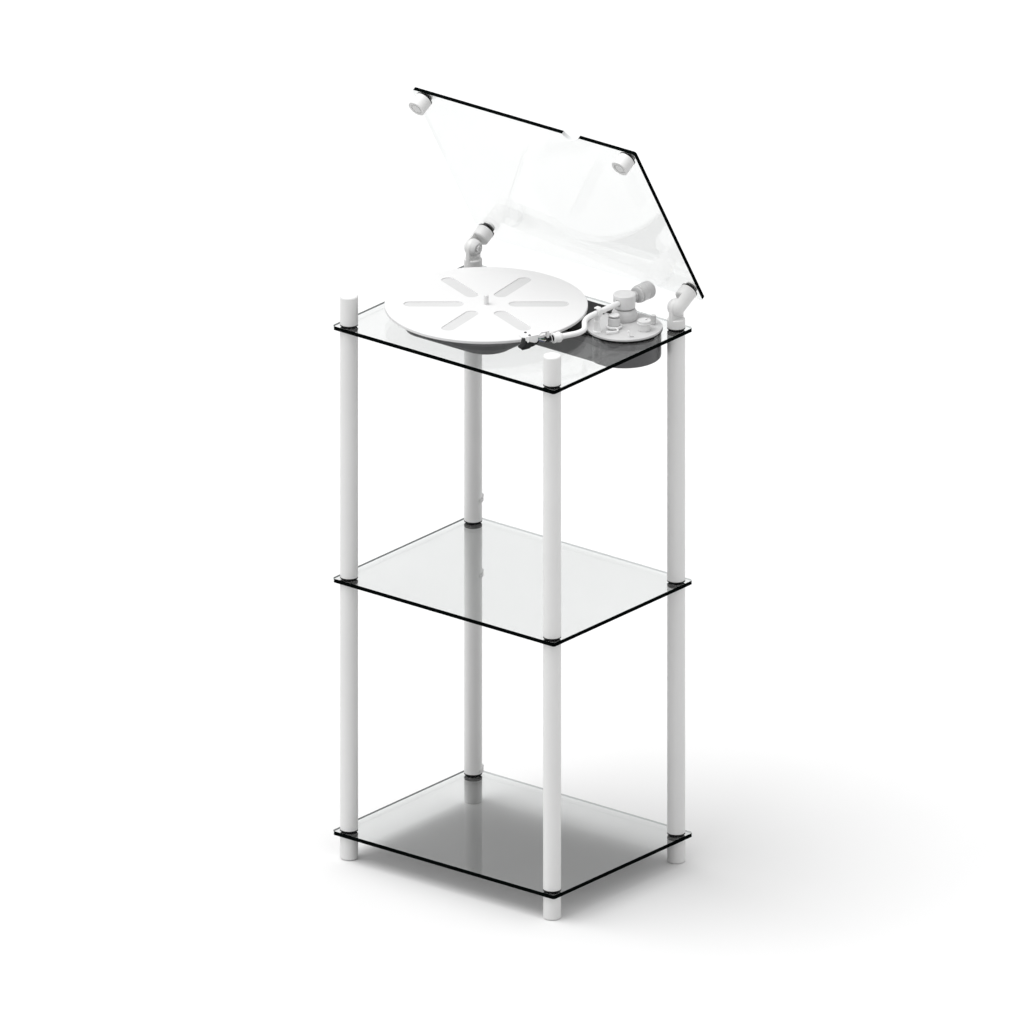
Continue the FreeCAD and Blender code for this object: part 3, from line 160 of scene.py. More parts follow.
def turned(name, colour, rough=0.3, metal=1.0, pitch=2400, depth=0.000012, axis="Z", centre=(0, 0, 0)):
    """Lathe-turned metal: fine rings about an axis through centre."""
    material, tree, shader = start(name)
    place = add(tree, "ShaderNodeTexCoord")
    move = add(tree, "ShaderNodeMapping")
    move.inputs["Location"].default_value = tuple(-c for c in centre)
    tree.links.new(place.outputs["Object"], move.inputs["Vector"])
    rings = add(tree, "ShaderNodeTexWave", wave_type="RINGS", rings_direction=axis)
    rings.inputs["Scale"].default_value = pitch / 20
    rings.inputs["Distortion"].default_value = 0.4
    rings.inputs["Detail"].default_value = 2
    tree.links.new(move.outputs["Vector"], rings.inputs["Vector"])
    mottled = noise(tree, move.outputs["Vector"], 60, 4)
    colour_out = blend_colours(tree, span(tree, mottled, 0, 1), tone(colour, 0.9), tone(colour, 1.06))
    tree.links.new(colour_out, shader.inputs["Base Color"])
    tree.links.new(span(tree, rings.outputs["Fac"], rough - 0.08, rough + 0.08, 0, 1),
                   shader.inputs["Roughness"])
    bump(tree, shader, rings.outputs["Fac"], depth)
    shader.inputs["Metallic"].default_value = metal
    return material


HEAD_ON, SCHLICK_POWER = 0.04, 5.0    # what glass reflects when seen straight on, and how fast that grows


def glass_face(name, tint, shadow):
    """A pane's large faces: tint is what one face passes to the eye, shadow what it passes as light.

    The shadow is darker than real clear glass would cast. The mirror grows towards grazing view (Schlick).
    """
    material = bpy.data.materials.new(name)
    material.use_nodes = True
    tree = material.node_tree
    tree.nodes.clear()
    where = coordinates(tree)
    seen = add(tree, "ShaderNodeBsdfTransparent")
    drift = span(tree, noise(tree, where, 3, 2), 0, 1)
    tree.links.new(blend_colours(tree, drift, tone(tint, 0.985), tint), seen.inputs["Color"])
    shade = add(tree, "ShaderNodeBsdfTransparent")
    shade.inputs["Color"].default_value = (*shadow, 1)
    light = add(tree, "ShaderNodeLightPath")
    lighting = add(tree, "ShaderNodeMath", operation="MAXIMUM")
    tree.links.new(light.outputs["Is Shadow Ray"], lighting.inputs[0])
    tree.links.new(light.outputs["Is Diffuse Ray"], lighting.inputs[1])
    clear = add(tree, "ShaderNodeMixShader")
    tree.links.new(lighting.outputs[0], clear.inputs[0])
    tree.links.new(seen.outputs[0], clear.inputs[1])
    tree.links.new(shade.outputs[0], clear.inputs[2])
    mirror = add(tree, "ShaderNodeBsdfGlossy")
    mirror.inputs["Color"].default_value = (1, 1, 1, 1)
    tree.links.new(span(tree, noise(tree, where, 25, 3), 0.0, 0.03), mirror.inputs["Roughness"])
    slant = add(tree, "ShaderNodeLayerWeight")
    slant.inputs["Blend"].default_value = 0.5
    power = add(tree, "ShaderNodeMath", operation="POWER")
    power.inputs[1].default_value = SCHLICK_POWER
    tree.links.new(slant.outputs["Facing"], power.inputs[0])
    fresnel = add(tree, "ShaderNodeMath", operation="MULTIPLY_ADD")
    fresnel.inputs[1].default_value = 1 - HEAD_ON
    fresnel.inputs[2].default_value = HEAD_ON
    tree.links.new(power.outputs[0], fresnel.inputs[0])
    both = add(tree, "ShaderNodeMixShader")
    tree.links.new(fresnel.outputs[0], both.inputs[0])
    tree.links.new(clear.outputs[0], both.inputs[1])
    tree.links.new(mirror.outputs[0], both.inputs[2])
    output = add(tree, "ShaderNodeOutputMaterial")
    tree.links.new(both.outputs[0], output.inputs[0])
    return material


LINE_FROM, LINE_TO = 0.50, 0.58   # where the line on a shelf's edge starts, as shares of its thickness


def glass_edge(name, line, inside=(0.93, 0.94, 0.94)):
    """A pane's ground edge: black from outside, which is painted shade for the dark look of a glass edge;
    clear when seen through the pane, with a line of painted reflection along it.
    """
    material = coated(name, (0.002, 0.003, 0.0028), 0.4, 0.2, 50, 400, 0.00002, gloss=0.0)
    tree = material.node_tree
    dark = next(item for item in tree.nodes if item.type == "BSDF_PRINCIPLED")
    output = next(item for item in tree.nodes if item.type == "OUTPUT_MATERIAL")
    place = add(tree, "ShaderNodeTexCoord")
    height = add(tree, "ShaderNodeSeparateXYZ")
    tree.links.new(place.outputs["Generated"], height.inputs[0])
    upper = span(tree, height.outputs["Z"], 0, 1, LINE_FROM, LINE_TO)
    clear = add(tree, "ShaderNodeBsdfTransparent")
    tree.links.new(blend_colours(tree, upper, inside, line), clear.inputs["Color"])
    facing = add(tree, "ShaderNodeNewGeometry")
    both = add(tree, "ShaderNodeMixShader")
    tree.links.new(facing.outputs["Backfacing"], both.inputs[0])
    tree.links.new(dark.outputs[0], both.inputs[1])
    tree.links.new(clear.outputs[0], both.inputs[2])
    tree.links.new(both.outputs[0], output.inputs[0])
    return material


WHITE = (0.84, 0.84, 0.835)
paint = {
    "post": coated("post_powder_coat", WHITE, 0.38, 0.02, 9, 900, 0.00002, coat=0.15),
    "part": coated("part_powder_coat", (0.78, 0.78, 0.775), 0.42, 0.02, 30, 1100, 0.00002),
    "plastic": coated("moulded_white", (0.76, 0.76, 0.76), 0.40, 0.02, 40, 1600, 0.000015),
    # painted shade: the white moulded plastic made darker, for the arm base and the parts around the arm
    # that sit in the platter's and the arm's shade
    "shade": coated("moulded_white_painted_shade", (0.64, 0.64, 0.64), 0.42, 0.02, 40, 1600, 0.000015),
    "rubber": coated("black_rubber_skin", (0.007, 0.007, 0.0075), 0.68, 0.15, 60, 1300, 0.00004, gloss=0.2),
    "case": coated("case_satin_grey", (0.085, 0.085, 0.088), 0.36, 0.06, 12, 2200, 0.000012, metal=0.35,
                   coat=0.1),
    "deck": coated("deck_satin_black", (0.006, 0.006, 0.0065), 0.40, 0.12, 20, 2200, 0.000015, gloss=0.15),
    "platter": coated("platter_satin", (0.81, 0.81, 0.81), 0.36, 0.015, 8, 1500, 0.000012),
    "recess": coated("platter_recess", (0.65, 0.65, 0.65), 0.50, 0.02, 20, 1800, 0.00002),
    "arm": coated("arm_satin", (0.92, 0.92, 0.92), 0.32, 0.015, 50, 1800, 0.00001, coat=0.2),
    "black": coated("black_moulded", (0.006, 0.006, 0.007), 0.38, 0.15, 80, 2200, 0.00001, gloss=0.2),
    "steel": coated("zinc_steel", (0.55, 0.55, 0.56), 0.34, 0.08, 40, 700, 0.00002, metal=1.0,
                    stretch=(1, 1, 12)),
    "belt": coated("belt_rubber", (0.02, 0.02, 0.02), 0.6, 0.12, 50, 1200, 0.00004),
    "board": coated("board_mask", (0.02, 0.12, 0.05), 0.3, 0.25, 160, 900, 0.00003),
    "bearing": turned("bearing_brass", (0.72, 0.52, 0.24), centre=tuple(middle("bearing_housing"))),
    "pulley": turned("pulley_brass", (0.75, 0.56, 0.28), 0.22, centre=tuple(middle("motor_pulley"))),
    "socket": turned("socket_plating", (0.80, 0.62, 0.30), 0.2, axis="Y",
                     centre=tuple(middle("signal_sockets"))),
    "glass": glass_face("shelf_glass_face", (0.925, 0.932, 0.93), (0.42, 0.42, 0.42)),
    # painted light: the top shelf is the same glass as the others, made to pass more so that it reads
    # brighter
    "glass_top": glass_face("top_glass_face", (0.982, 0.988, 0.986), (0.42, 0.42, 0.42)),
    "lid": glass_face("lid_glass_face", (0.955, 0.96, 0.958), (0.84, 0.84, 0.84)),
    # painted light: the rounded corners at the shelves' left and right tips stay clear instead of taking
    # the edges' painted shade, so the tips read light
    "corner": glass_face("glass_corner_clear_tip", (0.93, 0.945, 0.94), (0.5, 0.5, 0.5)),
    "turned_white": coated("turned_painted_white", (0.63, 0.63, 0.63), 0.30, 0.02, 40, 900, 0.00001,
                           coat=0.2, stretch=(0.2, 6, 0.2)),
    "dark_steel": coated("dark_screw_steel", (0.10, 0.10, 0.105), 0.32, 0.12, 300, 1800, 0.00001,
                         metal=0.9),
    "gold": coated("plated_pin", (0.83, 0.62, 0.28), 0.22, 0.08, 300, 1800, 0.000008, metal=1.0),
    "lead_red": coated("lead_sleeve_red", (0.42, 0.03, 0.025), 0.42, 0.12, 300, 2600, 0.00001),
    "lead_green": coated("lead_sleeve_green", (0.02, 0.20, 0.13), 0.42, 0.12, 300, 2600, 0.00001),
    "lead_blue": coated("lead_sleeve_blue", (0.02, 0.06, 0.36), 0.42, 0.12, 300, 2600, 0.00001),
    "lead_white": coated("lead_sleeve_white", (0.72, 0.72, 0.70), 0.42, 0.06, 300, 2600, 0.00001),
    # painted reflection: the line seen through an edge is light on the front and right edges and the lid,
    # dark on the left and mid-grey at the rear
    "edge": glass_edge("glass_edge_painted_dark", (0.90, 0.91, 0.91)),
    "edge_left": glass_edge("glass_edge_painted_dark_left", (0.10, 0.11, 0.11)),
    "edge_rear": glass_edge("glass_edge_painted_dark_rear", (0.60, 0.62, 0.62)),
    "notch": coated("ground_glass_notch", (0.68, 0.69, 0.69), 0.5, 0.05, 60, 700, 0.00002),
}
NODE_PAINT = {
    "post": ["lower_post_", "upper_post_", "foot_", "cap_front_"],
    "part": ["hinge_base_", "hinge_arm_", "lid_rest_", "lid_caps"],
    # the arm base takes the darker copy of the white plastic as painted shade
    "shade": ["arm_base"],
    "plastic": ["hinge_bolt_", "arm_tower", "arm_drum", "speed_knob", "side_force_knob", "power_switch",
                "cue_pot", "cue_lift", "cue_lever", "arm_rest", "cable_clips", "sub_platter"],
    "rubber": ["shelf_washers", "lid_washers"],
    "case": ["case_shell", "case_cover"],
    "deck": ["deck_plate"],
    "platter": ["platter"],
    "arm": ["arm_tube", "counterweight", "headshell"],
    "black": ["cartridge", "cartridge_leads", "arm_plug", "power_inlet"],
    "steel": ["post_inserts", "shelf_studs", "drive_motor"],
    "belt": ["drive_belt"],
    "board": ["control_board"],
    "bearing": ["bearing_housing"],
    "pulley": ["motor_pulley"],
    "socket": ["signal_sockets"],
    "glass": ["shelf_bottom", "shelf_middle"],
    "glass_top": ["shelf_top"],
    "lid": ["lid_glass"],
}


def set_paint(item, *names):
    """Gives an object's material slots these paints, in order."""
    item.data.materials.clear()
    for name in names:
        item.data.materials.append(paint[name])


for look, stems in NODE_PAINT.items():
    for name, item in nodes.items():
        if any(name == stem or (stem.endswith("_") and name.startswith(stem)) for stem in stems):
            set_paint(item, look)


def paint_pane(item, face, out, *edges):
    """A pane's large faces get one material; each of its edge faces gets the first that is meant for it."""
    set_paint(item, face, *(look for look, wanted in edges))
    for polygon in item.data.polygons:
        if abs(polygon.normal.dot(out)) > 0.9:
            polygon.material_index = 0
        else:
            polygon.material_index = 1 + [wanted(polygon) for look, wanted in edges].index(True)


LID_OUT = Vector((0, math.sin(LID_TILT), math.cos(LID_TILT)))
# The shelves' edge faces get painted shade and a painted reflected line, chosen by the way they face.
for name, look in (("shelf_bottom", "glass"), ("shelf_middle", "glass"), ("shelf_top", "glass_top")):
    paint_pane(nodes[name], look, Vector((0, 0, 1)),
               ("corner", lambda face: face.normal.x * face.normal.y > 0.02),
               ("edge_left", lambda face: face.normal.x < -0.7),
               ("edge_rear", lambda face: face.normal.y > 0.7),
               ("edge", lambda face: True))
paint_pane(nodes["lid_glass"], "lid", LID_OUT,
           ("notch", lambda face: abs(face.center.x - LID_NOTCH_AT) < LID_NOTCH_HALF),
           ("edge", lambda face: True))

set_paint(nodes["platter"], "platter", "recess")
platter_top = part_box("platter")[1].z
for polygon in nodes["platter"].data.polygons:
    in_recess = polygon.normal.z > 0.9 and polygon.center.z < platter_top - RECESS_DEPTH
    polygon.material_index = 1 if in_recess else 0


# ---------------------------------------------------------------- building pieces
# Places on the arm base and along the arm, in millimetres on the stand's own axes, as the CAD has them.
PIVOT = (116.7, 118)             # the arm's vertical axis
CUE_POT = (128, 79.5)
SPEED_KNOB = (167.6, 101.1)
FORCE_KNOB = (163.3, 127.9)
POWER_SWITCH = (166.8, 65.9)
ARM_LINE, REST_Y = 117.5, 53     # the straight part of the arm tube, and where its rest stands along it
LEVEL = 878.6                    # the height of the arm tube's axis
ELBOW_X, ELBOW_Y = 150.8, -18.1  # where the tube turns towards the headshell
COLLAR_AT = 47.3                 # from the elbow to the collar
HEADING = math.radians(247.2)    # the way that the headshell points

STAND = Matrix.Translation((0, SHIFT, 0)) @ Matrix.Scale(MM, 4)
HEAD = (STAND @ Matrix.Translation((ELBOW_X + COLLAR_AT * math.cos(HEADING),
                                    ELBOW_Y + COLLAR_AT * math.sin(HEADING), 0))
        @ Matrix.Rotation(HEADING, 4, "Z"))


def spot(x, y, z=0.0):
    """The frame of a piece turned about a vertical axis, in millimetres."""
    return STAND @ Matrix.Translation((x, y, z))


def along_y(x, y, z):
    """A frame whose Z points to the rear."""
    return spot(x, y, z) @ Matrix.Rotation(math.radians(-90), 4, "X")


def softened(points, closed=False, steps=4):
    """A line through (a, b, radius) points with each corner rounded to its radius."""
    out = []
    count = len(points)
    for i, point in enumerate(points):
        here = Vector(point[:2])
        radius = point[2] if len(point) > 2 else 0.0
        if radius <= 0 or (not closed and i in (0, count - 1)):
            out.append(here)
            continue
        before = Vector(points[i - 1][:2]) - here
        after = Vector(points[(i + 1) % count][:2]) - here
        room = 0.48 * min(before.length, after.length)
        turn = math.pi - before.angle(after)
        if turn < 0.02:
            out.append(here)
            continue
        reach = min(radius * math.tan(turn / 2), room)
        radius = reach / math.tan(turn / 2)
        before.normalize()
        after.normalize()
        middle_way = (before + after).normalized()
        centre = here + middle_way * radius / math.cos(turn / 2)
        first = here + before * reach - centre
        last = here + after * reach - centre
        sweep = first.angle_signed(last)
        for step in range(steps + 1):
            angle = -sweep * step / steps
            turned_arm = Vector((first.x * math.cos(angle) - first.y * math.sin(angle),
                                 first.x * math.sin(angle) + first.y * math.cos(angle)))
            out.append(centre + turned_arm)
    return out


def lathe(shape, profile, steps=72, flutes=0, depth=0.0, low=0.0, high=0.0):
    """Turns a (radius, height) line about Z; between two heights the wall is fluted."""
    rings = []
    for radius, height in softened(profile):
        if radius < 1e-6:
            rings.append([shape.verts.new((0, 0, height))])
            continue
        ring = []
        for step in range(steps):
            angle = 2 * math.pi * step / steps
            size = radius
            if flutes and low <= height <= high:
                size -= depth * (0.5 + 0.5 * math.cos(flutes * angle))
            ring.append(shape.verts.new((size * math.cos(angle), size * math.sin(angle), height)))
        rings.append(ring)
    for lower, upper in zip(rings, rings[1:]):
        for step in range(steps):
            after = (step + 1) % steps
            if len(lower) == 1 and len(upper) == 1:
                continue
            if len(lower) == 1:
                shape.faces.new((lower[0], upper[after], upper[step]))
            elif len(upper) == 1:
                shape.faces.new((lower[step], lower[after], upper[0]))
            else:
                shape.faces.new((lower[step], lower[after], upper[after], upper[step]))
    return shape


def bevel_edges(shape, faces, width, segments=3, limit=30):
    """Rounds every edge of some faces that is sharper than a limit in degrees."""
    edges = {edge for face in faces for edge in face.edges
             if len(edge.link_faces) == 2 and edge.calc_face_angle(0) > math.radians(limit)}
    bmesh.ops.bevel(shape, geom=list(edges), offset=width, segments=segments, profile=0.5, affect="EDGES",
                    clamp_overlap=True)


def prism(shape, outline, low, high, width, axis="Z"):
    """An outline of (a, b, radius) corners drawn out between two levels, with its edges rounded."""
    def place(a, b, level):
        return {"Z": (a, b, level), "Y": (a, level, b), "X": (level, a, b)}[axis]

    points = softened(outline, closed=True)
    rings = [[shape.verts.new(place(p.x, p.y, level)) for p in points] for level in (low, high)]
    faces = [shape.faces.new(rings[0][::-1]), shape.faces.new(rings[1])]
    for i in range(len(points)):
        j = (i + 1) % len(points)
        faces.append(shape.faces.new((rings[0][i], rings[0][j], rings[1][j], rings[1][i])))
    bmesh.ops.recalc_face_normals(shape, faces=faces)
    bevel_edges(shape, faces, width)
    return shape


def slab(shape, low, high, width):
    """A block between two corners with its edges rounded."""
    outline = [(low[0], low[1]), (high[0], low[1]), (high[0], high[1]), (low[0], high[1])]
    return prism(shape, outline, low[2], high[2], width)


def smooth_path(points, steps=8):
    """A curve through the points (Catmull-Rom)."""
    points = [Vector(p) for p in points]
    ends = [2 * points[0] - points[1]] + points + [2 * points[-1] - points[-2]]
    out = []
    for a, b, c, d in zip(ends, ends[1:], ends[2:], ends[3:]):
        for step in range(steps):
            t = step / steps
            out.append(0.5 * (2 * b + (c - a) * t + (2 * a - 5 * b + 4 * c - d) * t * t
                              + (3 * b - a - 3 * c + d) * t ** 3))
    out.append(points[-1])
    return out


def rod(shape, points, radii, sides=20, index=0):
    """A round rod along a path; radii is one radius or one for each point. Its ends are domed."""
    path = smooth_path(points)
    count = len(path)
    if not isinstance(radii, (list, tuple)):
        radii = [radii] * len(points)
    direction = (path[1] - path[0]).normalized()
    side = direction.orthogonal().normalized()
    rings = []
    for i, centre in enumerate(path):
        new_direction = (path[min(i + 1, count - 1)] - path[max(i - 1, 0)]).normalized()
        side = (side - new_direction * side.dot(new_direction)).normalized()
        across = new_direction.cross(side)
        spread = i / (count - 1) * (len(radii) - 1)
        first = min(int(spread), len(radii) - 2)
        radius = radii[first] + (radii[first + 1] - radii[first]) * (spread - first)
        stations = [(0.0, 1.0)]
        if i == 0:
            stations = [(-0.7, 0.25), (-0.55, 0.66), (-0.3, 0.9), (0.0, 1.0)]
        elif i == count - 1:
            stations = [(0.0, 1.0), (0.3, 0.9), (0.55, 0.66), (0.7, 0.25)]
        for shift, scale in stations:
            middle_of = centre + new_direction * shift * radius
            rings.append([shape.verts.new(middle_of + (side * math.cos(angle) + across * math.sin(angle))
                                          * radius * scale)
                          for angle in (2 * math.pi * k / sides for k in range(sides))])
    faces = [shape.faces.new(rings[0][::-1]), shape.faces.new(rings[-1])]
    for lower, upper in zip(rings, rings[1:]):
        for k in range(sides):
            after = (k + 1) % sides
            faces.append(shape.faces.new((lower[k], lower[after], upper[after], upper[k])))
    for face in faces:
        face.material_index = index
    return shape


def carved(shape, *cutters):
    """A mesh with others cut out of it."""
    items = []
    for part in (shape, *cutters):
        bmesh.ops.recalc_face_normals(part, faces=part.faces)
        mesh = bpy.data.meshes.new("carving")
        part.to_mesh(mesh)
        part.free()
        items.append(bpy.data.objects.new("carving", mesh))
        scene.collection.objects.link(items[-1])
    for cutter in items[1:]:
        step = items[0].modifiers.new("cut", "BOOLEAN")
        step.object = cutter
        step.operation = "DIFFERENCE"
        step.solver = "EXACT"
    ready = items[0].evaluated_get(bpy.context.evaluated_depsgraph_get())
    result = bmesh.new()
    result.from_mesh(ready.to_mesh())
    ready.to_mesh_clear()
    for item in items:
        mesh = item.data
        bpy.data.objects.remove(item)
        bpy.data.meshes.remove(mesh)
    return result


def include(shape, extra, offset):
    """Adds a second mesh, moved by an offset, to a first one."""
    bmesh.ops.translate(extra, verts=extra.verts, vec=offset)
    held = bpy.data.meshes.new("held")
    extra.to_mesh(held)
    extra.free()
    shape.from_mesh(held)
    bpy.data.meshes.remove(held)


def piece(name, shape, place, body, looks, replaced=None, sharp=32):
    """Finishes a mesh made in millimetres: placed, smooth shaded, painted and riding on its body."""
    shape.transform(place)
    bmesh.ops.recalc_face_normals(shape, faces=shape.faces)
    mesh = bpy.data.meshes.new(name)
    shape.to_mesh(mesh)
    shape.free()
    mesh.shade_smooth()
    mesh.set_sharp_from_angle(angle=math.radians(sharp))
    item = bpy.data.objects.new(name, mesh)
    scene.collection.objects.link(item)
    for look in looks.split():
        mesh.materials.append(paint[look])
    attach(item, body)
    if replaced:
        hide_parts(replaced)


# ---------------------------------------------------------------- controls on the arm base
DISC = 849.0                     # the top of the arm base's disc
CLEAR = 0.3                      # the gap under a knob that turns

knob = lathe(bmesh.new(), [
    (0, DISC + CLEAR), (9, DISC + CLEAR, 0.3), (9, 859.4, 0.4), (10.9, 859.9, 0.4), (10.9, 861.2, 0.3),
    (9.3, 861.5, 0.1), (9.3, 862.0, 0.1), (10, 862.2, 0.1), (10, 862.5), (10, 864.2), (9.9, 864.9, 0.5),
    (8.7, 864.9, 0.2), (8.3, 864.3, 0.2), (0, 864.2)],
    steps=192, flutes=48, depth=0.35, low=862.3, high=864.3)
piece("speed_knob_turned", knob, spot(*SPEED_KNOB), "speed_knob", "plastic", "speed_knob")
mark = slab(bmesh.new(), (-0.45, 3.2, 864.0), (0.45, 7.6, 864.55), 0.12)
piece("speed_knob_mark", mark, spot(*SPEED_KNOB), "speed_knob", "black")

trim = lathe(bmesh.new(), [
    (0, DISC + CLEAR), (3.4, DISC + CLEAR, 0.2), (3.4, 850.8, 0.2), (4, 851.2), (4, 851.3), (4, 862.6),
    (3.9, 863.2, 0.3), (2.9, 863.7, 0.2), (2.5, 863.3, 0.1), (0, 863.2)],
    steps=96, flutes=16, depth=0.5, low=851.3, high=862.8)
piece("side_force_knob_turned", trim, spot(*FORCE_KNOB), "side_force_knob", "shade",
      "side_force_knob")

stem = lathe(bmesh.new(), [
    (0, 846.0), (1.4, 846.0), (1.4, 849.4), (1.1, 850.2, 0.3), (1.1, 854.6, 0.3), (1.35, 855.4, 0.4),
    (1.7, 857.0, 0.8), (1.2, 858.6, 0.6), (0, 858.8)], steps=32)
piece("power_switch_stem", stem, spot(*POWER_SWITCH), "power_switch", "arm",
      "power_switch")

# ---------------------------------------------------------------- arm pivot
bell = lathe(bmesh.new(), [
    (0, DISC), (17.5, DISC, 0.2), (18.6, 850.4, 0.8), (19.7, 855.0, 6), (18.6, 860.6, 6), (15.9, 865.2, 3),
    (15.0, 866.0, 0.5), (6.6, 866.4, 0.6), (6, 867.4, 0.3), (6, 872), (0, 872)], steps=96)
piece("arm_tower_bell", bell, spot(*PIVOT), "stand", "shade", "arm_tower", sharp=40)
drum = lathe(bmesh.new(), [(0, 872.4), (6.2, 872.4), (6.2, 868.4, 0.2), (16.1, 868.4, 0.4),
                           (16.8, 888.8, 1.0), (0, 888.8)], steps=96)
slot = prism(bmesh.new(), [(-3.75, 873.5, 4.4), (5.35, 873.5, 4.4), (5.35, 883.7, 4.4),
                           (-3.75, 883.7, 4.4)],
             -25, 25, 0.05, axis="Y")
axle = prism(bmesh.new(), [(-1.6, 877.0, 1.5), (1.6, 877.0, 1.5), (1.6, 880.2, 1.5), (-1.6, 880.2, 1.5)],
             -14.4, 14.4, 0.05, axis="X")
piece("arm_drum_turned", carved(drum, slot, axle), spot(*PIVOT), "arm_swivel", "plastic",
      "arm_drum")
lid = lathe(bmesh.new(), [(0, 888.5), (14.6, 888.5), (14.6, 889.1, 0.25), (12.4, 889.1, 0.2),
                          (12.1, 888.9, 0.1), (0, 888.9)], steps=96)
piece("arm_drum_lid", lid, spot(*PIVOT), "arm_swivel", "plastic")

# ---------------------------------------------------------------- counterweight
STUB_Y, WEIGHT_Y = 136, 145      # where the nut and the weight start along the arm's rear stub
WEIGHT_RIBS, WEIGHT_RIB_FROM, WEIGHT_RIB_PITCH = 8, 17.8, 1.25

weight_line = [(0, 29), (4.1, 29), (4.1, 0), (11.2, 0, 0.6), (12.4, 1.0, 0.5), (12.4, 3.6, 0.3),
               (11.5, 3.9, 0.1), (11.5, 4.4, 0.1), (12.9, 4.8, 0.5), (13.4, 5.6, 0.6), (13.4, 17.6, 0.1)]
for rib in range(WEIGHT_RIBS):
    start_of = WEIGHT_RIB_FROM + WEIGHT_RIB_PITCH * rib
    weight_line += [(13.05, start_of, 0.1), (13.05, start_of + 0.35, 0.1), (13.4, start_of + 0.55, 0.15),
                    (13.4, start_of + 1.05, 0.15)]
weight_line += [(13.4, 29.0, 0.6), (12.2, 31.0, 1.4), (7.4, 31.0, 0.4), (6.8, 30.2, 0.3), (0, 30.1)]
weight = lathe(bmesh.new(), weight_line, steps=120)
piece("counterweight_turned", weight, along_y(ARM_LINE, WEIGHT_Y, LEVEL), "weight",
      "turned_white", "counterweight", sharp=28)
nut = lathe(bmesh.new(), [(4.1, 0), (6.4, 0, 0.2), (6.4, 1.4, 0.2), (5.4, 1.7, 0.1), (5.4, 2.3, 0.1),
                          (7.2, 2.7, 0.2), (7.2, 5.2, 0.3), (5.8, 5.7, 0.2), (5.8, 7.4, 0.2), (4.1, 7.6),
                          (4.1, 0)],
            steps=120, flutes=30, depth=0.4, low=2.9, high=5.1)
piece("arm_stub_nut", nut, along_y(ARM_LINE, STUB_Y, LEVEL), "arm", "shade")

# ---------------------------------------------------------------- cueing
BAR_FROM, BAR_TO = 109.4 - CUE_POT[0], 122 - CUE_POT[0]          # the bar under the arm tube
STRIP_FROM, STRIP_TO = 110.2 - CUE_POT[0], 121.5 - CUE_POT[0]    # the rubber strip on it
LEVER_HEADING = math.radians(-31)                                # the way that the lever points at rest

pot = lathe(bmesh.new(), [
    (3.05, 855), (3.05, 866), (5.0, 866, 0.2), (5.3, 865.6, 0.1), (5.8, 865.6, 0.1), (6.1, 866, 0.2),
    (9, 866, 0.7), (9, 854.6, 0.2), (8.6, 854.3, 0.1), (8.6, DISC)], steps=96)
piece("cue_pot_turned", pot, spot(*CUE_POT), "stand", "shade", "cue_pot")
lift = lathe(bmesh.new(), [(0, 855), (3, 855, 0.3), (3, 868.6, 0.4), (8.4, 868.6, 0.5), (8.4, 870.0, 0.4),
                           (7.6, 870.6, 0.4), (4.2, 870.6, 0.2), (3.9, 870.3, 0.1), (0, 870.3)], steps=72)
prism(lift, [(BAR_FROM, -2.4, 2), (BAR_TO, -2.4), (BAR_TO, 2.4), (BAR_FROM, 2.4, 2)], 868.6, 870.6, 0.4)
piece("cue_lift_bar", lift, spot(*CUE_POT), "cue_lift", "plastic", "cue_lift")
strip = prism(bmesh.new(), [(STRIP_FROM, -1.5, 1.3), (STRIP_TO, -1.5, 1.3), (STRIP_TO, 1.5, 1.3),
                            (STRIP_FROM, 1.5, 1.3)], 870.4, 871.1, 0.25)
piece("cue_lift_strip", strip, spot(*CUE_POT), "cue_lift", "rubber")
lever = lathe(bmesh.new(), [(9.3, 851.0, 0.3), (11.6, 851.0, 0.5), (11.6, 854.0, 0.5), (9.3, 854.0, 0.3),
                            (9.3, 851.0)], steps=96)
rod(lever, [(10.2, 0, 852.5), (15, -0.2, 852.5), (19.2, -1.0, 852.5), (21.6, -4.2, 852.5), (22, -10, 852.5),
            (22, -15, 852.6), (22, -19, 852.8)], [1.35, 1.3, 1.25, 1.2, 1.15, 1.6, 2.05])
piece("cue_lever_bent", lever, spot(*CUE_POT) @ Matrix.Rotation(LEVER_HEADING, 4, "Z"), "cue_lever",
      "arm", "cue_lever")

# ---------------------------------------------------------------- arm rest
rest = lathe(bmesh.new(), [(0, DISC), (6.6, DISC, 0.1), (6.6, 850.6, 0.5), (4.9, 851.2, 0.5),
                           (4.4, 866.0, 0.4), (3.6, 867.2, 0.4), (3.6, 869.6, 0.4), (4.6, 870.6, 0.4),
                           (4.6, 873.0), (0, 873.0)], steps=72)
clip = [(110.1, 871.8, 1.0), (121.0, 871.8, 3.0), (124.9, 876.0, 3.0), (124.9, 884.0, 3.0),
        (121.0, 888.0, 3.0), (114.5, 888.0, 0.9), (114.5, 885.8, 0.6), (119.0, 885.8, 2.6),
        (122.3, 882.0, 2.6), (122.3, 877.6, 2.6), (119.0, 874.0, 2.6), (110.1, 874.0, 0.9)]
prism(rest, [(x - ARM_LINE, z, r) for x, z, r in clip], -4, 4, 0.5, axis="Y")
piece("arm_rest_clip", rest, spot(ARM_LINE, REST_Y), "stand", "arm", "arm_rest")

# ---------------------------------------------------------------- arm collar, plug and headshell
PLUG_RIBS, PLUG_RIB_FROM, PLUG_RIB_PITCH = 5, 6.6, 2.1
SCREW_ALONG, SCREW_SIDE = 48.5, 6.35

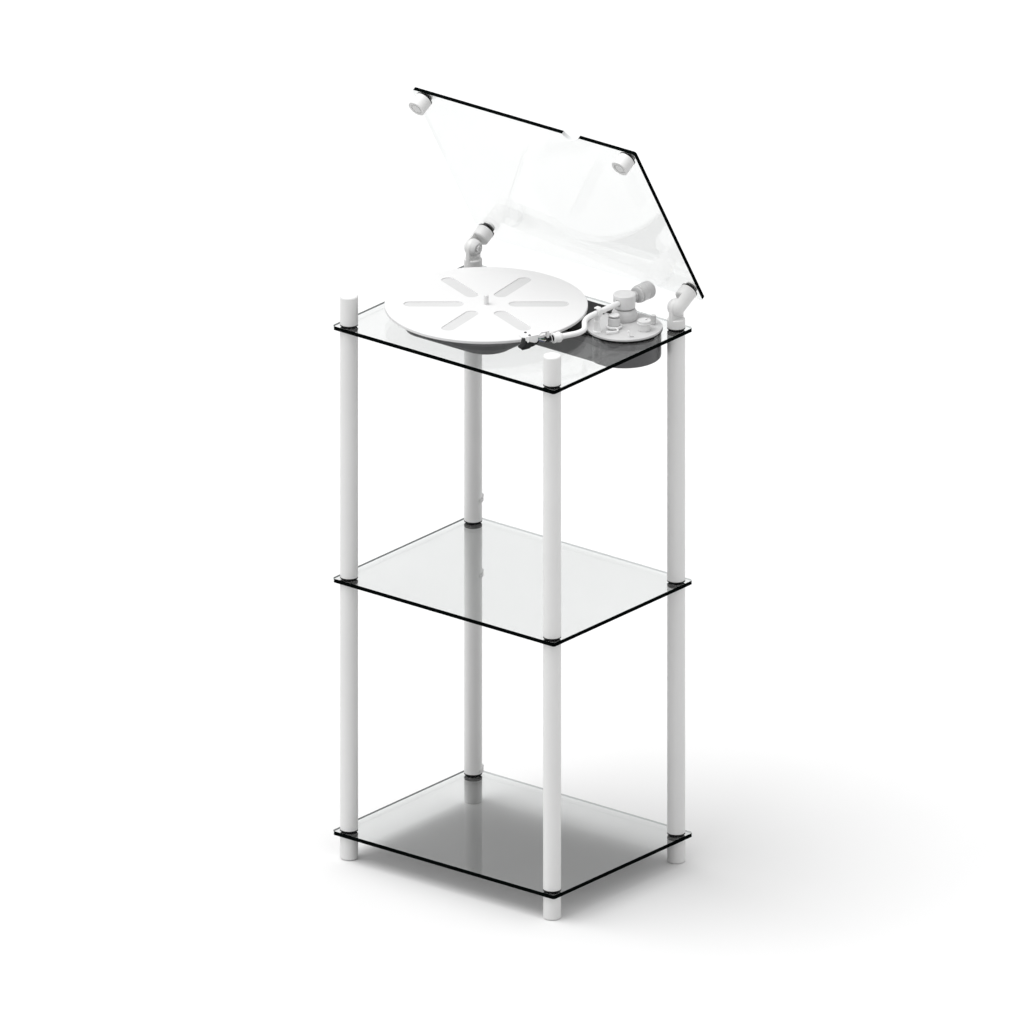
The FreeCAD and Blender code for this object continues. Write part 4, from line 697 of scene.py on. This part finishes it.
along = HEAD @ Matrix.Translation((0, 0, LEVEL)) @ Matrix.Rotation(math.radians(90), 4, "Y")
collar = lathe(bmesh.new(), [(4.3, -9.5, 0.1), (5.4, -9.0, 0.4), (6.4, -5.9, 0.4), (8.1, -5.4, 0.3),
                             (8.1, -2.6, 0.3), (7.45, -2.3, 0.1), (7.45, 3.4, 0.3), (8.0, 5.7, 0.3),
                             (7.0, 6.2, 0.3), (4.7, 6.2), (4.3, -9.5)],
               steps=160, flutes=40, depth=0.35, low=-5.3, high=-2.7)
piece("arm_collar_ring", collar, along, "arm", "arm")
plug_line = [(0, 2), (4.6, 2), (4.6, 6.4)]
for rib in range(PLUG_RIBS):
    step_at = PLUG_RIB_FROM + PLUG_RIB_PITCH * rib
    plug_line += [(3.9, step_at + 0.2, 0.15), (3.9, step_at + 0.8, 0.15), (4.6, step_at + 1.1, 0.2),
                  (4.6, step_at + 1.9, 0.2)]
plug_line += [(4.6, 18.4, 0.3), (3.6, 19, 0.3), (0, 19)]
plug = lathe(bmesh.new(), plug_line, steps=72)
piece("arm_plug_ribbed", plug, along, "arm", "black", "arm_plug")
ring = lathe(bmesh.new(), [(4.65, 9.1), (5.3, 9.1, 0.2), (5.3, 10.4, 0.2), (4.65, 10.4), (4.65, 9.1)],
             steps=72)
piece("arm_plug_band", ring, along, "arm", "steel")

shell = prism(bmesh.new(), [
    (13.5, -3, 0.6), (27.5, -3, 3), (33.0, -9.5, 3), (56.0, -9.5, 4), (61.0, -5.5, 4), (61.0, 5.5, 4),
    (56.0, 9.5, 4), (33.0, 9.5, 3), (27.5, 3, 3), (13.5, 3, 0.6)], 890.8, 893.0, 0.6)
slab(shell, (13.5, -3, 881.4), (17.3, 3, 892.6), 0.6)
for side in (-1, 1):
    low_u, high_u = sorted((side * 9.5, side * 8.0))
    prism(shell, [(36.0, 883.6, 1.0), (38.4, 881.0, 1.0), (42.5, 881.4, 2.0), (56.0, 886.4, 1.5),
                  (57.0, 892.4), (36.0, 892.4)], low_u, high_u, 0.35, axis="Y")
rod(shell, [(51.5, 7.6, 891.6), (52.2, 9.7, 890.9), (52.9, 10.6, 888.6), (53.5, 11.2, 886.4),
            (54.2, 12.4, 885.4)],
    [0.6, 0.55, 0.5, 0.6, 1.15], sides=16)
piece("headshell_plate", shell, HEAD, "arm", "arm", "headshell")
screws = bmesh.new()
for side in (-1, 1):
    head = lathe(bmesh.new(), [(0, 887), (1.2, 887), (1.2, 893.0), (2.1, 893.0, 0.15), (2.1, 893.7, 0.4),
                               (1.5, 894.3, 0.4), (0.9, 894.4), (0.9, 893.8), (0, 893.8)], steps=40)
    include(screws, head, (SCREW_ALONG, side * SCREW_SIDE, 0))
piece("headshell_screws", screws, HEAD, "arm", "dark_steel")

# ---------------------------------------------------------------- pickup and its leads
LEAD_SIDES = (-3.9, -1.3, 1.3, 3.9)   # the four leads, across the headshell
PIN_DROP, PIN_STAGGER = 1.2, 1.6      # the plug's pins start under the tube's axis, every second one higher
PICKUP_RISE = 5.4                     # from a lead's pin in the plug to its pin in the pickup

pickup = prism(bmesh.new(), [
    (37.5, 890.8, 0.3), (53.5, 890.8, 0.8), (54.6, 886.5, 1), (56.5, 877.6, 0.8), (50, 873.6, 1),
    (42, 874.8, 1), (36.5, 876.8, 1), (33, 879, 0.8), (33, 881.6, 0.5), (37.5, 882.2, 0.8)],
    -6.8, 6.8, 0.7, axis="Y")
prism(pickup, [(46, 877.8, 0.3), (55.8, 878.4, 1.0), (61.6, 875.2, 0.8), (62, 873.2, 0.8),
               (59.5, 871.2, 0.8), (48, 871.8, 0.6), (44.6, 874.0, 0.6)], -5.4, 5.4, 0.8, axis="Y")
piece("cartridge_body", pickup, HEAD, "arm", "black", "cartridge")
needle = rod(bmesh.new(), [(52.5, 0, 871.6), (55.0, 0, 870.4), (57.4, 0, 869.3)], [0.5, 0.42, 0.32],
             sides=12)
rod(needle, [(57.1, 0, 869.6), (57.15, 0, 869.0), (57.2, 0, 868.4)], [0.3, 0.22, 0.08], sides=10)
piece("cartridge_needle", needle, HEAD, "arm", "steel")
pins = bmesh.new()
wires = bmesh.new()
for i, u in enumerate(LEAD_SIDES):
    level = LEVEL - PIN_DROP + PIN_STAGGER * (i % 2)
    top = level + PICKUP_RISE
    rod(pins, [(35.4, u, top), (36.4, u, top), (38.0, u, top)], 0.45, sides=12)
    rod(pins, [(18.6, u * 0.8, level), (19.3, u * 0.9, level), (20.4, u, level + 0.3)], 0.5, sides=12)
    rod(wires, [(19.9, u, level + 0.2), (22.8, u * 1.3, level + 0.4), (27.0, u * 1.5, level + 2.0),
                (31.4, u * 1.4, level + 4.2), (34.0, u * 1.1, level + 5.2), (35.8, u, top)],
        [0.7, 0.62, 0.62, 0.62, 0.7, 0.85], sides=16, index=i)
piece("cartridge_pins", pins, HEAD, "arm", "gold")
piece("cartridge_lead_set", wires, HEAD, "arm", "lead_red lead_green lead_blue lead_white",
      "cartridge_leads")

# ---------------------------------------------------------------- casing fittings
COVER_SCREWS = ((-178, 0), (-100, 28), (-100, -28), (-50, -28), (-75, 96),
                (20, 134), (20, 58), (120, 132), (158, 66))
SOCKET_Y, SOCKET_Z = 146.5, 822

cover = bmesh.new()
for x, y in COVER_SCREWS:
    dome = lathe(bmesh.new(), [(0, 803.4), (2.9, 803.4), (2.9, 802.2, 0.3), (2.2, 801.4, 0.8), (0, 801.1)],
                 steps=40)
    include(cover, dome, (x, y, 0))
piece("case_cover_screws", cover, STAND, "stand", "dark_steel")
for name, x, look in (("socket_ring_left", 76, "lead_white"), ("socket_ring_right", 92, "lead_red")):
    collar = lathe(bmesh.new(), [(4.7, 0), (6.2, 0, 0.2), (6.2, 0.9, 0.3), (4.7, 1.1), (4.7, 0)], steps=64)
    piece(name, collar, along_y(x, SOCKET_Y, SOCKET_Z), "stand", look)

# ---------------------------------------------------------------- camera, floor and light
AZIMUTH, ELEVATION = math.radians(38.79), math.radians(21.49)
PICTURE_SPAN = 1.5094                 # metres across the picture's longer side
AIM_RIGHT, AIM_UP = -0.0009, 0.5122   # the picture's centre, in metres along the camera's own axes
CAMERA_DISTANCE = 6
camera_back = Vector((math.sin(AZIMUTH) * math.cos(ELEVATION), -math.cos(AZIMUTH) * math.cos(ELEVATION),
                      math.sin(ELEVATION)))
camera_right = Vector((math.cos(AZIMUTH), math.sin(AZIMUTH), 0))
camera_up = camera_back.cross(camera_right)
camera_data = bpy.data.cameras.new("camera")
camera_data.type = "ORTHO"
camera_data.ortho_scale = PICTURE_SPAN
camera = bpy.data.objects.new("camera", camera_data)
scene.collection.objects.link(camera)
aim = camera_right * AIM_RIGHT + camera_up * AIM_UP + Vector((0, SHIFT, 0))
camera.rotation_mode = "QUATERNION"
camera.rotation_quaternion = (-camera_back).to_track_quat("-Z", "Y")
camera.location = aim + camera_back * CAMERA_DISTANCE
camera_data.clip_end = 10 * CAMERA_DISTANCE
scene.camera = camera

scene.view_settings.view_transform = "Standard"
scene.view_settings.look = "None"

SKY_FROM, SKY_TO, SKY_STRENGTH = 0.45, 0.98, 0.9     # the sky brightens between these heights
SUN_ENERGY, SUN_ANGLE = 1.9, math.radians(50)        # a wide sun gives the soft shadow on the floor
SUN_DIRECTION = Vector((0.33, 0.31, -1.0))
FLOOR_GREY, BOUNCE_GREY = 0.80, 0.5                  # as the camera sees the floor, and as the object does
FLOOR_REACH = 14

world = bpy.data.worlds.new("studio")
world.use_nodes = True
sky = world.node_tree
direction = add(sky, "ShaderNodeTexCoord")
height = add(sky, "ShaderNodeSeparateXYZ")
sky.links.new(direction.outputs["Generated"], height.inputs[0])
strength = span(sky, height.outputs["Z"], SKY_FROM, SKY_TO, 0.0, SKY_STRENGTH)
sky.nodes["Background"].inputs["Color"].default_value = (1, 1, 1, 1)
sky.links.new(strength, sky.nodes["Background"].inputs["Strength"])
scene.world = world

sun_data = bpy.data.lights.new("key", "SUN")
sun_data.energy = SUN_ENERGY
sun_data.angle = SUN_ANGLE
sun = bpy.data.objects.new("key", sun_data)
sun.rotation_mode = "QUATERNION"
sun.rotation_quaternion = SUN_DIRECTION.to_track_quat("-Z", "Y")
scene.collection.objects.link(sun)

floor_mesh = bpy.data.meshes.new("floor")
floor_corners = [(-FLOOR_REACH, -FLOOR_REACH, 0), (FLOOR_REACH, -FLOOR_REACH, 0),
                 (FLOOR_REACH, FLOOR_REACH, 0), (-FLOOR_REACH, FLOOR_REACH, 0)]
floor_mesh.from_pydata(floor_corners, [], [(0, 1, 2, 3)])
floor = bpy.data.objects.new("floor", floor_mesh)
scene.collection.objects.link(floor)
floor_paint = coated("studio_floor", (FLOOR_GREY,) * 3, 0.7, 0.0, 2, 40, 0.0)
floor_tree = floor_paint.node_tree
dim = add(floor_tree, "ShaderNodeBsdfDiffuse")
dim.inputs["Color"].default_value = (BOUNCE_GREY,) * 3 + (1,)
bounce = add(floor_tree, "ShaderNodeMixShader")
path = add(floor_tree, "ShaderNodeLightPath")
floor_tree.links.new(path.outputs["Is Diffuse Ray"], bounce.inputs[0])
floor_tree.links.new(floor_tree.nodes["Principled BSDF"].outputs[0], bounce.inputs[1])
floor_tree.links.new(dim.outputs[0], bounce.inputs[2])
floor_tree.links.new(bounce.outputs[0], floor_tree.nodes["Material Output"].inputs[0])
floor_mesh.materials.append(floor_paint)
